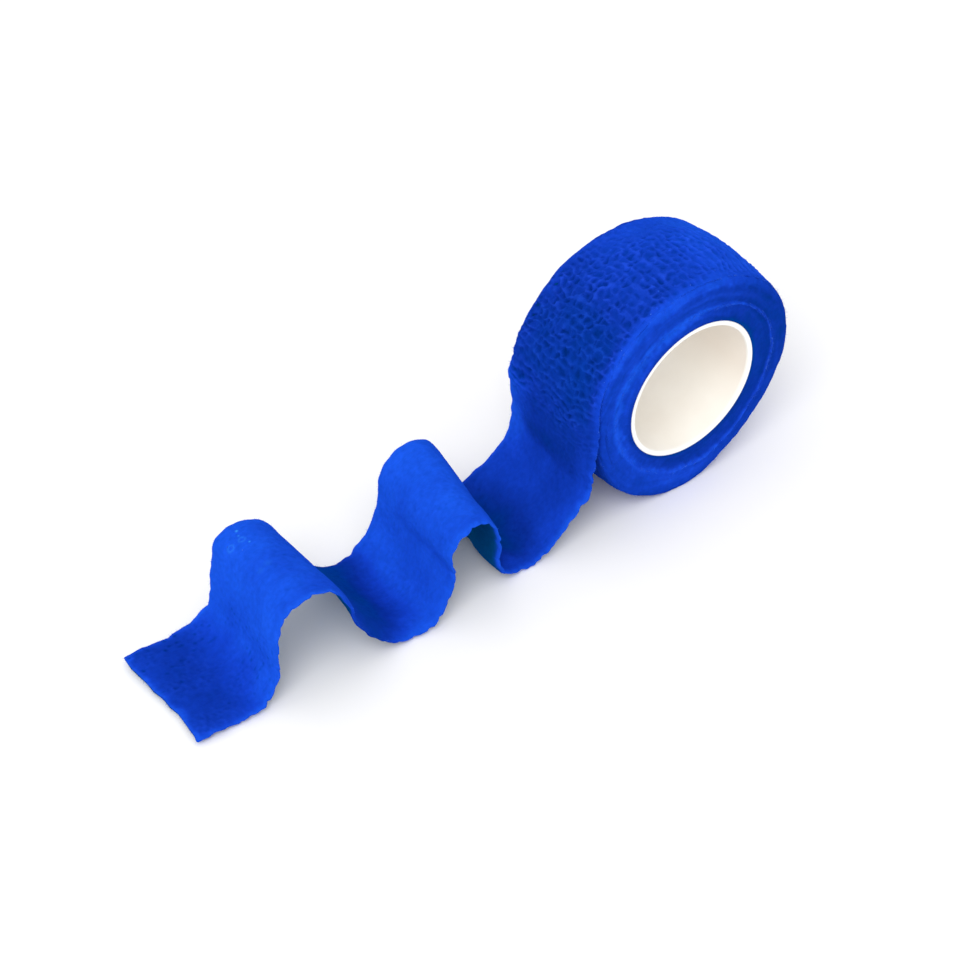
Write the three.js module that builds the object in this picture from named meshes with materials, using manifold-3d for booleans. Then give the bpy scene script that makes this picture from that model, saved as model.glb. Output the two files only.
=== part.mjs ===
// Cohesive bandage roll: one strip of crinkled self-adhering bandage wound on a
// plastic core tube. The roll stands on its rim. The loose end leaves it at the
// left, drops to the ground and runs away from it in two standing waves.
//
// Units are millimetres, +Z up. The origin is the middle of the flat spot on
// which the roll stands. The roll's axis lies along Y, its near face looks
// towards -Y, and the loose end runs towards -X.
import * as THREE from "three";
import { mergeVertices } from "three/addons/utils/BufferGeometryUtils.js";
import Module from "manifold-3d";

// ---- driving dimensions ----------------------------------------------------
const STRIP_WIDTH = 25; // the cut width of the bandage
const STRIP_THICK = 1.0; // one relaxed layer
const AXIS_Z = 24.1; // height of the roll's axis, lower than its radius there by the flat spot
const LEAVE_DEG = 180; // where the loose end leaves the roll, seen from the near face
const CORE_OUTER = 14.45; // core tube, outer radius
const CORE_WALL = 1.0;
const CORE_LENGTH = 25.3;
const CORE_CHAMFER = 0.25;
const GAP = 0.3; // between the core and the first layer
const ROUND_STEPS = 96; // steps round the roll
const TAIL_STEP = 1.5; // spacing of the sections along the loose end

const COLOURS = { bandage: 0x1041c5, core: 0xefece4 };

// The wound face from the bore outwards. back = how far the surface lies behind
// the strip's edge plane. Radii below the shoulder are fixed; the shoulder rows
// count inwards from the outline, which is not quite round.
const FACE_RINGS = [
  { at: "bore_edge", r: CORE_OUTER + GAP, back: 0.15 },
  { at: "first_turns", r: 17.6, back: 0.45 },
  { at: "step", r: 18.3, back: 0.15 },
  { at: "level_band", r: 20.2, back: 0.0 },
];
const SHOULDER = [
  { at: "band_edge", in_from_rim: 2.1, back: 0.0 },
  { at: "turn_over", in_from_rim: 1.05, back: 0.3 },
  { at: "turning", in_from_rim: 0.4, back: 0.9 },
  { at: "rim", in_from_rim: 0.0, back: 3.5 },
];

// The outline of the wound body: its radius near the near rim, half way across
// and near the far rim. The layers are wound with uneven tension, so it is not
// quite round. The outermost turn starts just past -180 and leaves at 180, one
// layer further out.
const OUTLINE = [
  { deg: -180, near: 21.8, middle: 22.8, far: 22 },
  { deg: -150, near: 22.45, middle: 23.2, far: 22.6 },
  { deg: -120, near: 24.05, middle: 24, far: 23.8 },
  { deg: -90, near: 25.05, middle: 24.6, far: 24.4 },
  { deg: -60, near: 23.25, middle: 23.9, far: 23.5 },
  { deg: -30, near: 23, middle: 23.9, far: 23.4 },
  { deg: 0, near: 23.83, middle: 24.2, far: 23.8 },
  { deg: 30, near: 23.92, middle: 24.4, far: 24.1 },
  { deg: 60, near: 23.4, middle: 24.5, far: 22.65 },
  { deg: 90, near: 23.3, middle: 24.3, far: 22.08 },
  { deg: 120, near: 23.3, middle: 24.1, far: 22.25 },
  { deg: 150, near: 23.2, middle: 23.9, far: 22.65 },
  { deg: 180, near: 23.2, middle: 23.8, far: 23.85 },
];

// The loose end, from where it is still on the roll to its cut end. Each row is
// one section across the strip: the middle of its thickness at the near edge
// and at the far edge, how far the whole section has slid along Y, and how wide
// the stretched strip is there. droop bends the strip's two margins inwards, as
// over the roll's shoulders; a negative droop curls them up off the ground.
const LAID = 0.4 * STRIP_THICK; // middle of a layer that lies on the ground, pressed a little flat
const TAIL = [
  { at: "on_roll_1", near_x: -21.2, near_z: AXIS_Z + 8.7, far_x: -20.95, far_z: AXIS_Z + 8.7, slide: 0, width: 23.4, droop: 2 },
  { at: "on_roll_2", near_x: -22.65, near_z: AXIS_Z + 4.5, far_x: -23.2, far_z: AXIS_Z + 4.5, slide: 0, width: 24.2, droop: 1.9 },
  { at: "leaves", near_x: -23.3, near_z: AXIS_Z, far_x: -24.25, far_z: AXIS_Z, slide: 0, width: 24.8, droop: 1.5 },
  { at: "hang_1", near_x: -23.5, near_z: 19, far_x: -23.3, far_z: 19, slide: 0, width: 25, droop: 1.1 },
  { at: "hang_2", near_x: -23.45, near_z: 14.8, far_x: -22.3, far_z: 14.8, slide: 0, width: 25, droop: 0.7 },
  { at: "hang_3", near_x: -23.85, near_z: 11.2, far_x: -21.95, far_z: 11.5, slide: 0, width: 25, droop: 0.35 },
  { at: "swing_out_1", near_x: -26, near_z: 8.85, far_x: -22.6, far_z: 8.2, slide: 0, width: 25, droop: 0.1 },
  { at: "swing_out_2", near_x: -28.65, near_z: 5.65, far_x: -24.9, far_z: 5.8, slide: 0, width: 24.8, droop: 0 },
  { at: "valley_3_in", near_x: -32.4, near_z: 2.95, far_x: -28.1, far_z: 4, slide: 0, width: 24.6, droop: 0 },
  { at: "valley_3_a", near_x: -35.2, near_z: 0.8, far_x: -31.6, far_z: 2, slide: 0.1, width: 24.2, droop: -0.2 },
  { at: "valley_3_b", near_x: -38.6, near_z: LAID, far_x: -36.4, far_z: 0.8, slide: 0.11, width: 23.88, droop: -0.35 },
  { at: "valley_3_out", near_x: -42, near_z: 1.4, far_x: -41.4, far_z: 1.8, slide: -0.25, width: 24, droop: -0.4 },
  { at: "crest_2_rise", near_x: -44.6, near_z: 5.2, far_x: -43.8, far_z: 5.7, slide: -0.6, width: 24, droop: -0.6 },
  { at: "crest_2_flank", near_x: -44.6, near_z: 10.4, far_x: -42.6, far_z: 11.3, slide: -0.8, width: 23.8, droop: -0.4 },
  { at: "crest_2_in", near_x: -45.1, near_z: 15.1, far_x: -41.7, far_z: 16.4, slide: -1.1, width: 23.7, droop: 0 },
  { at: "crest_2_a", near_x: -47.1, near_z: 18.5, far_x: -44.7, far_z: 20, slide: -1.3, width: 23.6, droop: 0 },
  { at: "crest_2_b", near_x: -50.2, near_z: 19.7, far_x: -49.1, far_z: 20.1, slide: -1.4, width: 23.5, droop: 0 },
  { at: "crest_2_c", near_x: -54, near_z: 18.35, far_x: -52.55, far_z: 18, slide: -1.6, width: 23.5, droop: 0 },
  { at: "crest_2_out", near_x: -55.5, near_z: 14.9, far_x: -54, far_z: 14.6, slide: -1.7, width: 23.5, droop: 0 },
  { at: "crest_2_fall", near_x: -54.65, near_z: 10.7, far_x: -54.7, far_z: 10.4, slide: -1.8, width: 23.5, droop: 0 },
  { at: "valley_2_in", near_x: -56.1, near_z: 5.6, far_x: -56.1, far_z: 5.5, slide: -1.9, width: 23.5, droop: 0 },
  { at: "valley_2_a", near_x: -58.9, near_z: 1.5, far_x: -59, far_z: 2.1, slide: -2.08, width: 23.85, droop: -0.2 },
  { at: "valley_2_b", near_x: -63.2, near_z: LAID, far_x: -62.9, far_z: 0.6, slide: -2.18, width: 22.75, droop: -0.35 },
  { at: "valley_2_out", near_x: -67.05, near_z: 2.4, far_x: -66.6, far_z: 1.6, slide: -2, width: 23.1, droop: 0.7 },
  { at: "crest_1_rise", near_x: -70.9, near_z: 5.9, far_x: -70, far_z: 4.9, slide: -1.6, width: 23.5, droop: 1.2 },
  { at: "crest_1_flank", near_x: -74.4, near_z: 10.35, far_x: -72.85, far_z: 9.85, slide: -1.2, width: 23.5, droop: 1.2 },
  { at: "crest_1_in", near_x: -76.1, near_z: 16, far_x: -75.8, far_z: 14.6, slide: -0.9, width: 23.5, droop: 0.5 },
  { at: "crest_1_a", near_x: -79.4, near_z: 20.4, far_x: -78.7, far_z: 19.1, slide: -0.7, width: 23.5, droop: 0.1 },
  { at: "crest_1_b", near_x: -84.2, near_z: 22.3, far_x: -83.3, far_z: 21.3, slide: -0.4, width: 23.5, droop: 0 },
  { at: "crest_1_c", near_x: -88.3, near_z: 20.9, far_x: -86.8, far_z: 20.2, slide: -0.1, width: 23.5, droop: 0 },
  { at: "crest_1_out", near_x: -90.4, near_z: 16.7, far_x: -87.9, far_z: 15.9, slide: 0.1, width: 23.5, droop: 0 },
  { at: "crest_1_fall", near_x: -91.2, near_z: 11, far_x: -89.1, far_z: 10.4, slide: 0.2, width: 23.5, droop: 0 },
  { at: "valley_1_in", near_x: -91.6, near_z: 5.1, far_x: -89.5, far_z: 4.7, slide: 0.3, width: 23.5, droop: 0 },
  { at: "valley_1_a", near_x: -94.3, near_z: 1.1, far_x: -93.2, far_z: 1.9, slide: 0.31, width: 24, droop: -0.2 },
  { at: "valley_1_b", near_x: -98.3, near_z: LAID, far_x: -97.8, far_z: 0.9, slide: 0.37, width: 23.93, droop: -0.3 },
  { at: "end_flat", near_x: -103, near_z: LAID, far_x: -102.8, far_z: 1, slide: 0.67, width: 23.95, droop: -0.3 },
  { at: "cut_end", near_x: -107.6, near_z: 0.8, far_x: -107.6, far_z: 1.3, slide: 0.75, width: 23.8, droop: -0.2 },
];

// Where the sections' points lie across the strip, from its near edge (0) to
// its far edge (1), and what share of the droop each takes.
const ACROSS = [
  { at: 0, droop: 1 },
  { at: 0.06, droop: 0.6 },
  { at: 0.16, droop: 0.25 },
  { at: 0.32, droop: 0.06 },
  { at: 0.5, droop: 0 },
  { at: 0.68, droop: 0.06 },
  { at: 0.84, droop: 0.25 },
  { at: 0.94, droop: 0.6 },
  { at: 1, droop: 1 },
];

// ---- helpers ---------------------------------------------------------------
const wasm = await Module();
wasm.setup();

const radians = THREE.MathUtils.degToRad;

// A smooth value between the rows of a table, by the column it is looked up on.
function lookUp(table, key, value, at) {
  const n = table.length;
  let i = 0;
  while (i < n - 2 && at > table[i + 1][key]) i++;
  const t = (at - table[i][key]) / (table[i + 1][key] - table[i][key]);
  const v = (k) => table[Math.min(n - 1, Math.max(0, k))][value];
  const [a, b, c, d] = [v(i - 1), v(i), v(i + 1), v(i + 2)];
  return (
    b + 0.5 * t * (c - a + t * (2 * a - 5 * b + 4 * c - d + t * (3 * (b - c) + d - a)))
  );
}

// A closed surface from rings of equal length. Rings join end to end when
// wrapped is true; otherwise the first and last are capped by a fan of strips.
function loft(rings, wrapped) {
  const n = rings.length,
    m = rings[0].length,
    index = [];
  const id = (i, j) => (i % n) * m + (j % m);
  for (let i = 0; i < (wrapped ? n : n - 1); i++)
    for (let j = 0; j < m; j++)
      index.push(id(i, j), id(i + 1, j + 1), id(i + 1, j), id(i, j), id(i, j + 1), id(i + 1, j + 1));
  if (!wrapped)
    // a ring here is a flat band: its first half runs one way and its second half back
    for (const [i, turn] of [
      [0, 1],
      [n - 1, 0],
    ])
      for (let j = 0; j < m / 2 - 1; j++) {
        const quad = [id(i, j), id(i, j + 1), id(i, m - 2 - j), id(i, m - 1 - j)];
        const [a, b, c, d] = turn ? quad.reverse() : quad;
        index.push(a, b, c, a, c, d);
      }
  const geometry = new THREE.BufferGeometry();
  geometry.setAttribute(
    "position",
    new THREE.Float32BufferAttribute(rings.flat().flatMap((p) => [p.x, p.y, p.z]), 3),
  );
  geometry.setIndex(index);
  return geometry;
}

function toSolid(geometry) {
  const g = geometry.clone();
  g.deleteAttribute("normal");
  g.deleteAttribute("uv");
  const merged = mergeVertices(g, 1e-4);
  return new wasm.Manifold(
    new wasm.Mesh({
      numProp: 3,
      vertProperties: merged.attributes.position.array,
      triVerts: new Uint32Array(merged.index.array),
    }),
  );
}

function toGeometry(solid) {
  const m = solid.getMesh(),
    out = new Float32Array(m.numVert * 3);
  for (let i = 0; i < m.numVert; i++)
    out.set(m.vertProperties.subarray(i * m.numProp, i * m.numProp + 3), i * 3);
  const geometry = new THREE.BufferGeometry();
  geometry.setAttribute("position", new THREE.BufferAttribute(out, 3));
  geometry.setIndex(new THREE.BufferAttribute(m.triVerts, 1));
  geometry.computeVertexNormals();
  return geometry;
}

// ---- the wound body --------------------------------------------------------
function woundSection(deg) {
  const [near, middle, far] = ["near", "middle", "far"].map((c) => lookUp(OUTLINE, "deg", c, deg)),
    half = STRIP_WIDTH / 2,
    a = radians(deg);
  const between = (t) => (near * t * (t - 1)) / 2 + middle * (1 - t * t) + (far * t * (t + 1)) / 2;
  const side = (rim) => [
    ...FACE_RINGS.map((f) => ({ r: f.r, back: f.back })),
    ...SHOULDER.map((s) => ({ r: rim - s.in_from_rim, back: s.back })),
  ];
  const section = [
    ...side(near).map((p) => ({ r: p.r, y: -half + p.back })),
    ...[-0.5, 0, 0.5].map((t) => ({ r: between(t), y: t * (half - SHOULDER.at(-1).back) })),
    ...side(far)
      .map((p) => ({ r: p.r, y: half - p.back }))
      .reverse(),
  ];
  return section.map(
    (p) =>
      new THREE.Vector3(
        p.r * Math.cos(a),
        p.y,
        Math.max(0, AXIS_Z + p.r * Math.sin(a)), // the flat spot
      ),
  );
}

const woundRings = [];
for (let i = 0; i < ROUND_STEPS; i++)
  woundRings.push(woundSection(LEAVE_DEG - 360 + (360 * (i + 0.5)) / ROUND_STEPS));
const wound = toSolid(loft(woundRings, true));

// ---- the loose end ---------------------------------------------------------
const nearEdge = new THREE.CatmullRomCurve3(
  TAIL.map((t) => new THREE.Vector3(t.near_x, t.slide - t.width / 2, t.near_z)),
  false,
  "centripetal",
);
const farEdge = new THREE.CatmullRomCurve3(
  TAIL.map((t) => new THREE.Vector3(t.far_x, t.slide + t.width / 2, t.far_z)),
  false,
  "centripetal",
);

// Both edges are read at the same place in the table, so that a section always
// joins the same rows, however far apart they are.
function tailSection(u) {
  const lap = (edge, v) => edge.getPoint(Math.min(1, Math.max(0, v))),
    e = 0.002;
  const row = u * (TAIL.length - 1),
    k = Math.min(TAIL.length - 2, Math.floor(row)),
    droop = THREE.MathUtils.lerp(TAIL[k].droop, TAIL[k + 1].droop, row - k);
  const outer = [],
    inner = [];
  for (const c of ACROSS) {
    const at = (v) => lap(nearEdge, v).lerp(lap(farEdge, v), c.at);
    const middle = at(u),
      along = at(u + e).sub(at(u - e)),
      across = lap(farEdge, u).sub(lap(nearEdge, u)),
      out = across.cross(along).normalize(); // away from the roll where it leaves it
    middle.addScaledVector(out, -droop * c.droop);
    const shell = (side) => {
      const p = middle.clone().addScaledVector(out, (side * STRIP_THICK) / 2);
      p.z = Math.max(0, p.z);
      return p;
    };
    outer.push(shell(1));
    inner.push(shell(-1));
  }
  return [...outer, ...inner.reverse()];
}

const tailLength = nearEdge.getLength(),
  tailSteps = Math.round(tailLength / TAIL_STEP);
const tailRings = [];
for (let i = 0; i <= tailSteps; i++)
  tailRings.push(tailSection(nearEdge.getUtoTmapping(i / tailSteps)));
let tail = toSolid(loft(tailRings, false));

// ---- the pieces ------------------------------------------------------------
const roll = new THREE.Group();

function add(name, geometry, colour, roughness) {
  const mesh = new THREE.Mesh(
    geometry,
    new THREE.MeshStandardMaterial({ color: colour, roughness, metalness: 0, flatShading: true }),
  );
  mesh.name = name;
  roll.add(mesh);
  return mesh;
}

add("bandage", toGeometry(wound.add(tail)), COLOURS.bandage, 0.95);

const coreInner = CORE_OUTER - CORE_WALL,
  halfCore = CORE_LENGTH / 2;
const coreProfile = [
  { r: coreInner, h: -halfCore + CORE_CHAMFER },
  { r: coreInner + CORE_CHAMFER, h: -halfCore },
  { r: CORE_OUTER - CORE_CHAMFER, h: -halfCore },
  { r: CORE_OUTER, h: -halfCore + CORE_CHAMFER },
  { r: CORE_OUTER, h: halfCore - CORE_CHAMFER },
  { r: CORE_OUTER - CORE_CHAMFER, h: halfCore },
  { r: coreInner + CORE_CHAMFER, h: halfCore },
  { r: coreInner, h: halfCore - CORE_CHAMFER },
  { r: coreInner, h: -halfCore + CORE_CHAMFER },
].map((p) => new THREE.Vector2(p.r, p.h));
const core = add("core", new THREE.LatheGeometry(coreProfile, 64), COLOURS.core, 0.4);
core.position.set(0, 0, AXIS_Z); // a lathe turns about Y, which is the roll's axis

export default roll;
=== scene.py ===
import math
from collections import namedtuple

import bpy
import numpy as np
from mathutils import Matrix, Vector


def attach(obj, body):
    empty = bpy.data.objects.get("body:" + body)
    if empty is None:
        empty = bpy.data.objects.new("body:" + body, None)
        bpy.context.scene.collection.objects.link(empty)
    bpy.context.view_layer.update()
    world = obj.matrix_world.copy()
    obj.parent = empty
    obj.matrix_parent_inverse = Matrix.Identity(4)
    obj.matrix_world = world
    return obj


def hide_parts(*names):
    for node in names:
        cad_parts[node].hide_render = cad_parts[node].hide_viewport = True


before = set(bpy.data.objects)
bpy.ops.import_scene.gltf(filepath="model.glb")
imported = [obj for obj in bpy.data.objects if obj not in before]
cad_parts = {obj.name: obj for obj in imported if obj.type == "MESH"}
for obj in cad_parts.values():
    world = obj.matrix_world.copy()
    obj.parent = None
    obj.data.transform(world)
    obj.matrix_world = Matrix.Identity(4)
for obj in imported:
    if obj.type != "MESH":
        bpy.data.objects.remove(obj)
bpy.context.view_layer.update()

MM = 0.001

# ============================================================================
# Sizes, in millimetres, in the part's own frame: the same names and values as
# in part.mjs. The roll's axis lies along Y at height AXIS_Z, its near face
# looks towards -Y, and angles run counter-clockwise as seen from there.
# ============================================================================
STRIP_WIDTH = 25.0
STRIP_THICK = 1.0
AXIS_Z = 24.1
CORE_OUTER = 14.45
CORE_WALL = 1.0
CORE_LENGTH = 25.3
LAID = 0.4 * STRIP_THICK
HALF = STRIP_WIDTH / 2

Outline = namedtuple("Outline", "deg near middle far")
OUTLINE = [
    Outline(-180, 21.8, 22.8, 22),
    Outline(-150, 22.45, 23.2, 22.6),
    Outline(-120, 24.05, 24, 23.8),
    Outline(-90, 25.05, 24.6, 24.4),
    Outline(-60, 23.25, 23.9, 23.5),
    Outline(-30, 23, 23.9, 23.4),
    Outline(0, 23.83, 24.2, 23.8),
    Outline(30, 23.92, 24.4, 24.1),
    Outline(60, 23.4, 24.5, 22.65),
    Outline(90, 23.3, 24.3, 22.08),
    Outline(120, 23.3, 24.1, 22.25),
    Outline(150, 23.2, 23.9, 22.65),
    Outline(180, 23.2, 23.8, 23.85),
]

# The wound face from the bore outwards: back = how far it lies behind the
# strip's edge plane.
FaceRing = namedtuple("FaceRing", "at r back")
FACE_RINGS = [
    FaceRing("bore_edge", CORE_OUTER + 0.04, 0.15),
    FaceRing("first_turns", 17.3, 0.45),
    FaceRing("step", 18.5, 0.2),
    FaceRing("level_band", 20.2, 0.0),
]
Shoulder = namedtuple("Shoulder", "at in_from_rim back")
SHOULDER = [
    Shoulder("band_edge", 2.1, 0.0),
    Shoulder("turn_over", 1.05, 0.3),
    Shoulder("turning", 0.4, 0.9),
    Shoulder("rim", 0.0, 3.5),
]

Tail = namedtuple("Tail", "at near_x near_z far_x far_z slide width droop")
TAIL = [
    Tail("on_roll_1", -21.2, AXIS_Z + 8.7, -20.95, AXIS_Z + 8.7, 0, 23.4, 2),
    Tail("on_roll_2", -22.65, AXIS_Z + 4.5, -23.2, AXIS_Z + 4.5, 0, 24.2, 1.9),
    Tail("leaves", -23.3, AXIS_Z, -24.25, AXIS_Z, 0, 24.8, 1.5),
    Tail("hang_1", -23.5, 19, -23.3, 19, 0, 25, 1.1),
    Tail("hang_2", -23.45, 14.8, -22.3, 14.8, 0, 25, 0.7),
    Tail("hang_3", -23.85, 11.2, -21.95, 11.5, 0, 25, 0.35),
    Tail("swing_out_1", -26, 8.85, -22.6, 8.2, 0, 25, 0.1),
    Tail("swing_out_2", -28.65, 5.65, -24.9, 5.8, 0, 24.8, 0),
    Tail("valley_3_in", -32.4, 2.95, -28.1, 4, 0, 24.6, 0),
    Tail("valley_3_a", -35.2, 0.8, -31.6, 2, 0.1, 24.2, -0.2),
    Tail("valley_3_b", -38.6, LAID, -36.4, 0.8, 0.11, 23.88, -0.35),
    Tail("valley_3_out", -42, 1.4, -41.4, 1.8, -0.25, 24, -0.4),
    Tail("crest_2_rise", -44.6, 5.2, -43.8, 5.7, -0.6, 24, -0.6),
    Tail("crest_2_flank", -44.6, 10.4, -42.6, 11.3, -0.8, 23.8, -0.4),
    Tail("crest_2_in", -45.1, 15.1, -41.7, 16.4, -1.1, 23.7, 0),
    Tail("crest_2_a", -47.1, 18.5, -44.7, 20, -1.3, 23.6, 0),
    Tail("crest_2_b", -50.2, 19.7, -49.1, 20.1, -1.4, 23.5, 0),
    Tail("crest_2_c", -54, 18.35, -52.55, 18, -1.6, 23.5, 0),
    Tail("crest_2_out", -55.5, 14.9, -54, 14.6, -1.7, 23.5, 0),
    Tail("crest_2_fall", -54.65, 10.7, -54.7, 10.4, -1.8, 23.5, 0),
    Tail("valley_2_in", -56.1, 5.6, -56.1, 5.5, -1.9, 23.5, 0),
    Tail("valley_2_a", -58.9, 1.5, -59, 2.1, -2.08, 23.85, -0.2),
    Tail("valley_2_b", -63.2, LAID, -62.9, 0.6, -2.18, 22.75, -0.35),
    Tail("valley_2_out", -67.05, 2.4, -66.6, 1.6, -2, 23.1, 0.7),
    Tail("crest_1_rise", -70.9, 5.9, -70, 4.9, -1.6, 23.5, 1.2),
    Tail("crest_1_flank", -74.4, 10.35, -72.85, 9.85, -1.2, 23.5, 1.2),
    Tail("crest_1_in", -76.1, 16, -75.8, 14.6, -0.9, 23.5, 0.5),
    Tail("crest_1_a", -79.4, 20.4, -78.7, 19.1, -0.7, 23.5, 0.1),
    Tail("crest_1_b", -84.2, 22.3, -83.3, 21.3, -0.4, 23.5, 0),
    Tail("crest_1_c", -88.3, 20.9, -86.8, 20.2, -0.1, 23.5, 0),
    Tail("crest_1_out", -90.4, 16.7, -87.9, 15.9, 0.1, 23.5, 0),
    Tail("crest_1_fall", -91.2, 11, -89.1, 10.4, 0.2, 23.5, 0),
    Tail("valley_1_in", -91.6, 5.1, -89.5, 4.7, 0.3, 23.5, 0),
    Tail("valley_1_a", -94.3, 1.1, -93.2, 1.9, 0.31, 24, -0.2),
    Tail("valley_1_b", -98.3, LAID, -97.8, 0.9, 0.37, 23.93, -0.3),
    Tail("end_flat", -103, LAID, -102.8, 1, 0.67, 23.95, -0.3),
    Tail("cut_end", -107.6, 0.8, -107.6, 1.3, 0.75, 23.8, -0.2),
]
ROW = {t.at: i for i, t in enumerate(TAIL)}

# ---- sizes of the fine model -----------------------------------------------
START_DEG = -186.0  # the outermost turn starts just under the place where it leaves
LEAVING_STEP = 0.20  # spacing of the strip's sections where it leaves the roll and along the loose end
TAIL_STEP = 0.50
ACROSS_STEP = 0.24
INNER_COLUMNS = 9
LOOSE_THICK = 0.70  # one layer that nothing presses
BODY_STEPS = 720
BODY_STEP = 0.26

# Spacing of the strip's sections round the roll.
Spacing = namedtuple("Spacing", "deg step")
SPACING = [Spacing(-186, 0.42), Spacing(25, 0.42), Spacing(60, 0.28), Spacing(85, 0.21), Spacing(190, 0.20)]

# How far from the middle of the width the outermost turn's edges lie on the
# roll, measured over the rounded shoulder.
Edge = namedtuple("Edge", "deg near far")
EDGES = [
    Edge(-190, 11.9, 11.8),
    Edge(-150, 11.6, 11.6),
    Edge(-100, 11.4, 11.6),
    Edge(-50, 11.6, 11.4),
    Edge(0, 11.5, 11.6),
    Edge(50, 11.3, 11.8),
    Edge(90, 11.5, 11.6),
    Edge(120, 11.6, 11.5),
    Edge(150, 11.9, 11.8),
    Edge(170, 12.3, 12.3),
    Edge(190, 12.7, 12.6),
]

# How strong the net of crinkles is round the roll, and how much of it shows
# towards the far rim; along shows how far its cells are drawn out across the
# strip into short parallel ridges.
Net = namedtuple("Net", "deg strength far_rim along")
NET = [
    Net(-190, 0.75, 0.8, 0.4),
    Net(-150, 0.85, 0.8, 0.3),
    Net(-90, 0.75, 0.8, 0.2),
    Net(-30, 0.9, 0.8, 0.2),
    Net(10, 0.85, 0.7, 0.3),
    Net(45, 0.75, 0.5, 0.7),
    Net(70, 0.8, 0.35, 0.45),
    Net(95, 1.0, 0.5, 0.1),
    Net(120, 1.1, 0.9, 0.0),
    Net(145, 1.1, 1.0, 0.1),
    Net(160, 1.05, 0.9, 0.55),
    Net(172, 1.0, 0.85, 0.8),
    Net(190, 0.9, 0.8, 1.0),
]

# The raised ring on each wound face, where the first, tighter turns end.
Ring = namedtuple("Ring", "deg r lift")
RING = [
    Ring(-180, 17.9, 0.6),
    Ring(-150, 17.2, 0.5),
    Ring(-124, 17.8, 0.5),
    Ring(-100, 18.9, 0.7),
    Ring(-64, 19.2, 1.0),
    Ring(-34, 18.6, 1.0),
    Ring(-10, 18.8, 0.8),
    Ring(20, 19.1, 1.0),
    Ring(48, 18.4, 1.0),
    Ring(68, 17.8, 0.9),
    Ring(84, 17.2, 0.6),
    Ring(110, 17.4, 0.5),
    Ring(150, 18.4, 0.8),
    Ring(180, 17.9, 0.6),
]

# Painted light and shade on the near face round the roll: next to the core, on the raised ring, between it and the
# shoulder, and on the shoulder; lighter on the upper left, darker on the right. within and beyond are how far the
# ring's raised band and its painted light reach on its two sides.
FaceShading = namedtuple("FaceShading", "deg inner ring within beyond level shoulder")
FACE_SHADING = [
    FaceShading(-180, 0.58, 0.94, 1.5, 0.8, 0.60, 0.60),
    FaceShading(-150, 0.50, 0.80, 1.2, 0.8, 0.58, 0.56),
    FaceShading(-120, 0.40, 0.72, 0.8, 0.7, 0.64, 0.58),
    FaceShading(-95, 0.34, 0.76, 0.6, 0.5, 0.72, 0.62),
    FaceShading(-70, 0.34, 0.80, 0.45, 0.45, 0.56, 0.56),
    FaceShading(-45, 0.32, 0.78, 0.34, 0.34, 0.48, 0.48),
    FaceShading(-20, 0.28, 0.72, 0.24, 0.22, 0.42, 0.42),
    FaceShading(10, 0.26, 0.74, 0.20, 0.20, 0.28, 0.33),
    FaceShading(40, 0.28, 0.78, 0.24, 0.24, 0.31, 0.48),
    FaceShading(65, 0.46, 0.88, 0.45, 0.40, 0.46, 0.72),
    FaceShading(90, 0.62, 0.98, 1.2, 0.7, 0.55, 0.78),
    FaceShading(120, 0.66, 1.0, 1.6, 0.9, 0.58, 0.80),
    FaceShading(150, 0.66, 1.0, 1.7, 0.9, 0.60, 0.76),
    FaceShading(180, 0.58, 0.94, 1.5, 0.8, 0.60, 0.60),
]

# Painted light and shade on the outermost turn round the roll: lighter towards the top and right, darker on its left
# side.
WoundShading = namedtuple("WoundShading", "deg near far")
WOUND_SHADING = [
    WoundShading(-190, 0.38, 0.38),
    WoundShading(-90, 0.40, 0.40),
    WoundShading(0, 0.55, 0.60),
    WoundShading(35, 0.90, 0.92),
    WoundShading(60, 0.74, 0.82),
    WoundShading(80, 0.62, 0.74),
    WoundShading(100, 0.48, 0.58),
    WoundShading(120, 0.38, 0.42),
    WoundShading(140, 0.18, 0.36),
    WoundShading(165, 0.25, 0.28),
    WoundShading(190, 0.27, 0.30),
]

# Painted light and shade on the strip, at its near edge, middle and far edge: a single raised layer is painted lighter,
# as if light came through it, and a wound or laid one darker; the valleys next to the waves are painted dark as shade.
PaintedShading = namedtuple("PaintedShading", "at near middle far")
PAINTED_SHADING = [
    PaintedShading("on_roll_1", 0.30, 0.30, 0.40),
    PaintedShading("leaves", 0.38, 0.34, 0.95),
    PaintedShading("hang_2", 0.56, 0.27, 1.00),
    PaintedShading("hang_3", 0.70, 0.48, 0.98),
    PaintedShading("swing_out_2", 0.76, 0.56, 0.62),
    PaintedShading("valley_3_in", 0.68, 0.40, 0.60),
    PaintedShading("valley_3_b", 0.60, 0.03, 0.22),
    PaintedShading("valley_3_out", 0.56, 0.00, 0.06),
    PaintedShading("crest_2_rise", 0.60, 0.30, 0.30),
    PaintedShading("crest_2_in", 0.70, 0.74, 0.78),
    PaintedShading("crest_2_a", 0.78, 0.92, 0.98),
    PaintedShading("crest_2_c", 0.84, 0.95, 1.00),
    PaintedShading("crest_2_out", 0.96, 0.96, 1.00),
    PaintedShading("crest_2_fall", 0.90, 1.00, 1.00),
    PaintedShading("valley_2_in", 0.94, 0.96, 0.98),
    PaintedShading("valley_2_a", 0.94, 0.94, 0.84),
    PaintedShading("valley_2_b", 0.86, 0.54, 0.36),
    PaintedShading("valley_2_out", 0.60, 0.10, 0.10),
    PaintedShading("crest_1_rise", 0.26, 0.08, 0.08),
    PaintedShading("crest_1_flank", 0.40, 0.40, 0.40),
    PaintedShading("crest_1_in", 0.72, 0.72, 0.72),
    PaintedShading("crest_1_b", 0.78, 0.88, 1.00),
    PaintedShading("crest_1_out", 0.98, 0.95, 1.00),
    PaintedShading("valley_1_in", 0.96, 0.90, 0.94),
    PaintedShading("valley_1_b", 0.62, 0.40, 0.44),
    PaintedShading("end_flat", 0.48, 0.40, 0.40),
    PaintedShading("cut_end", 0.60, 0.56, 0.54),
]

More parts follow.
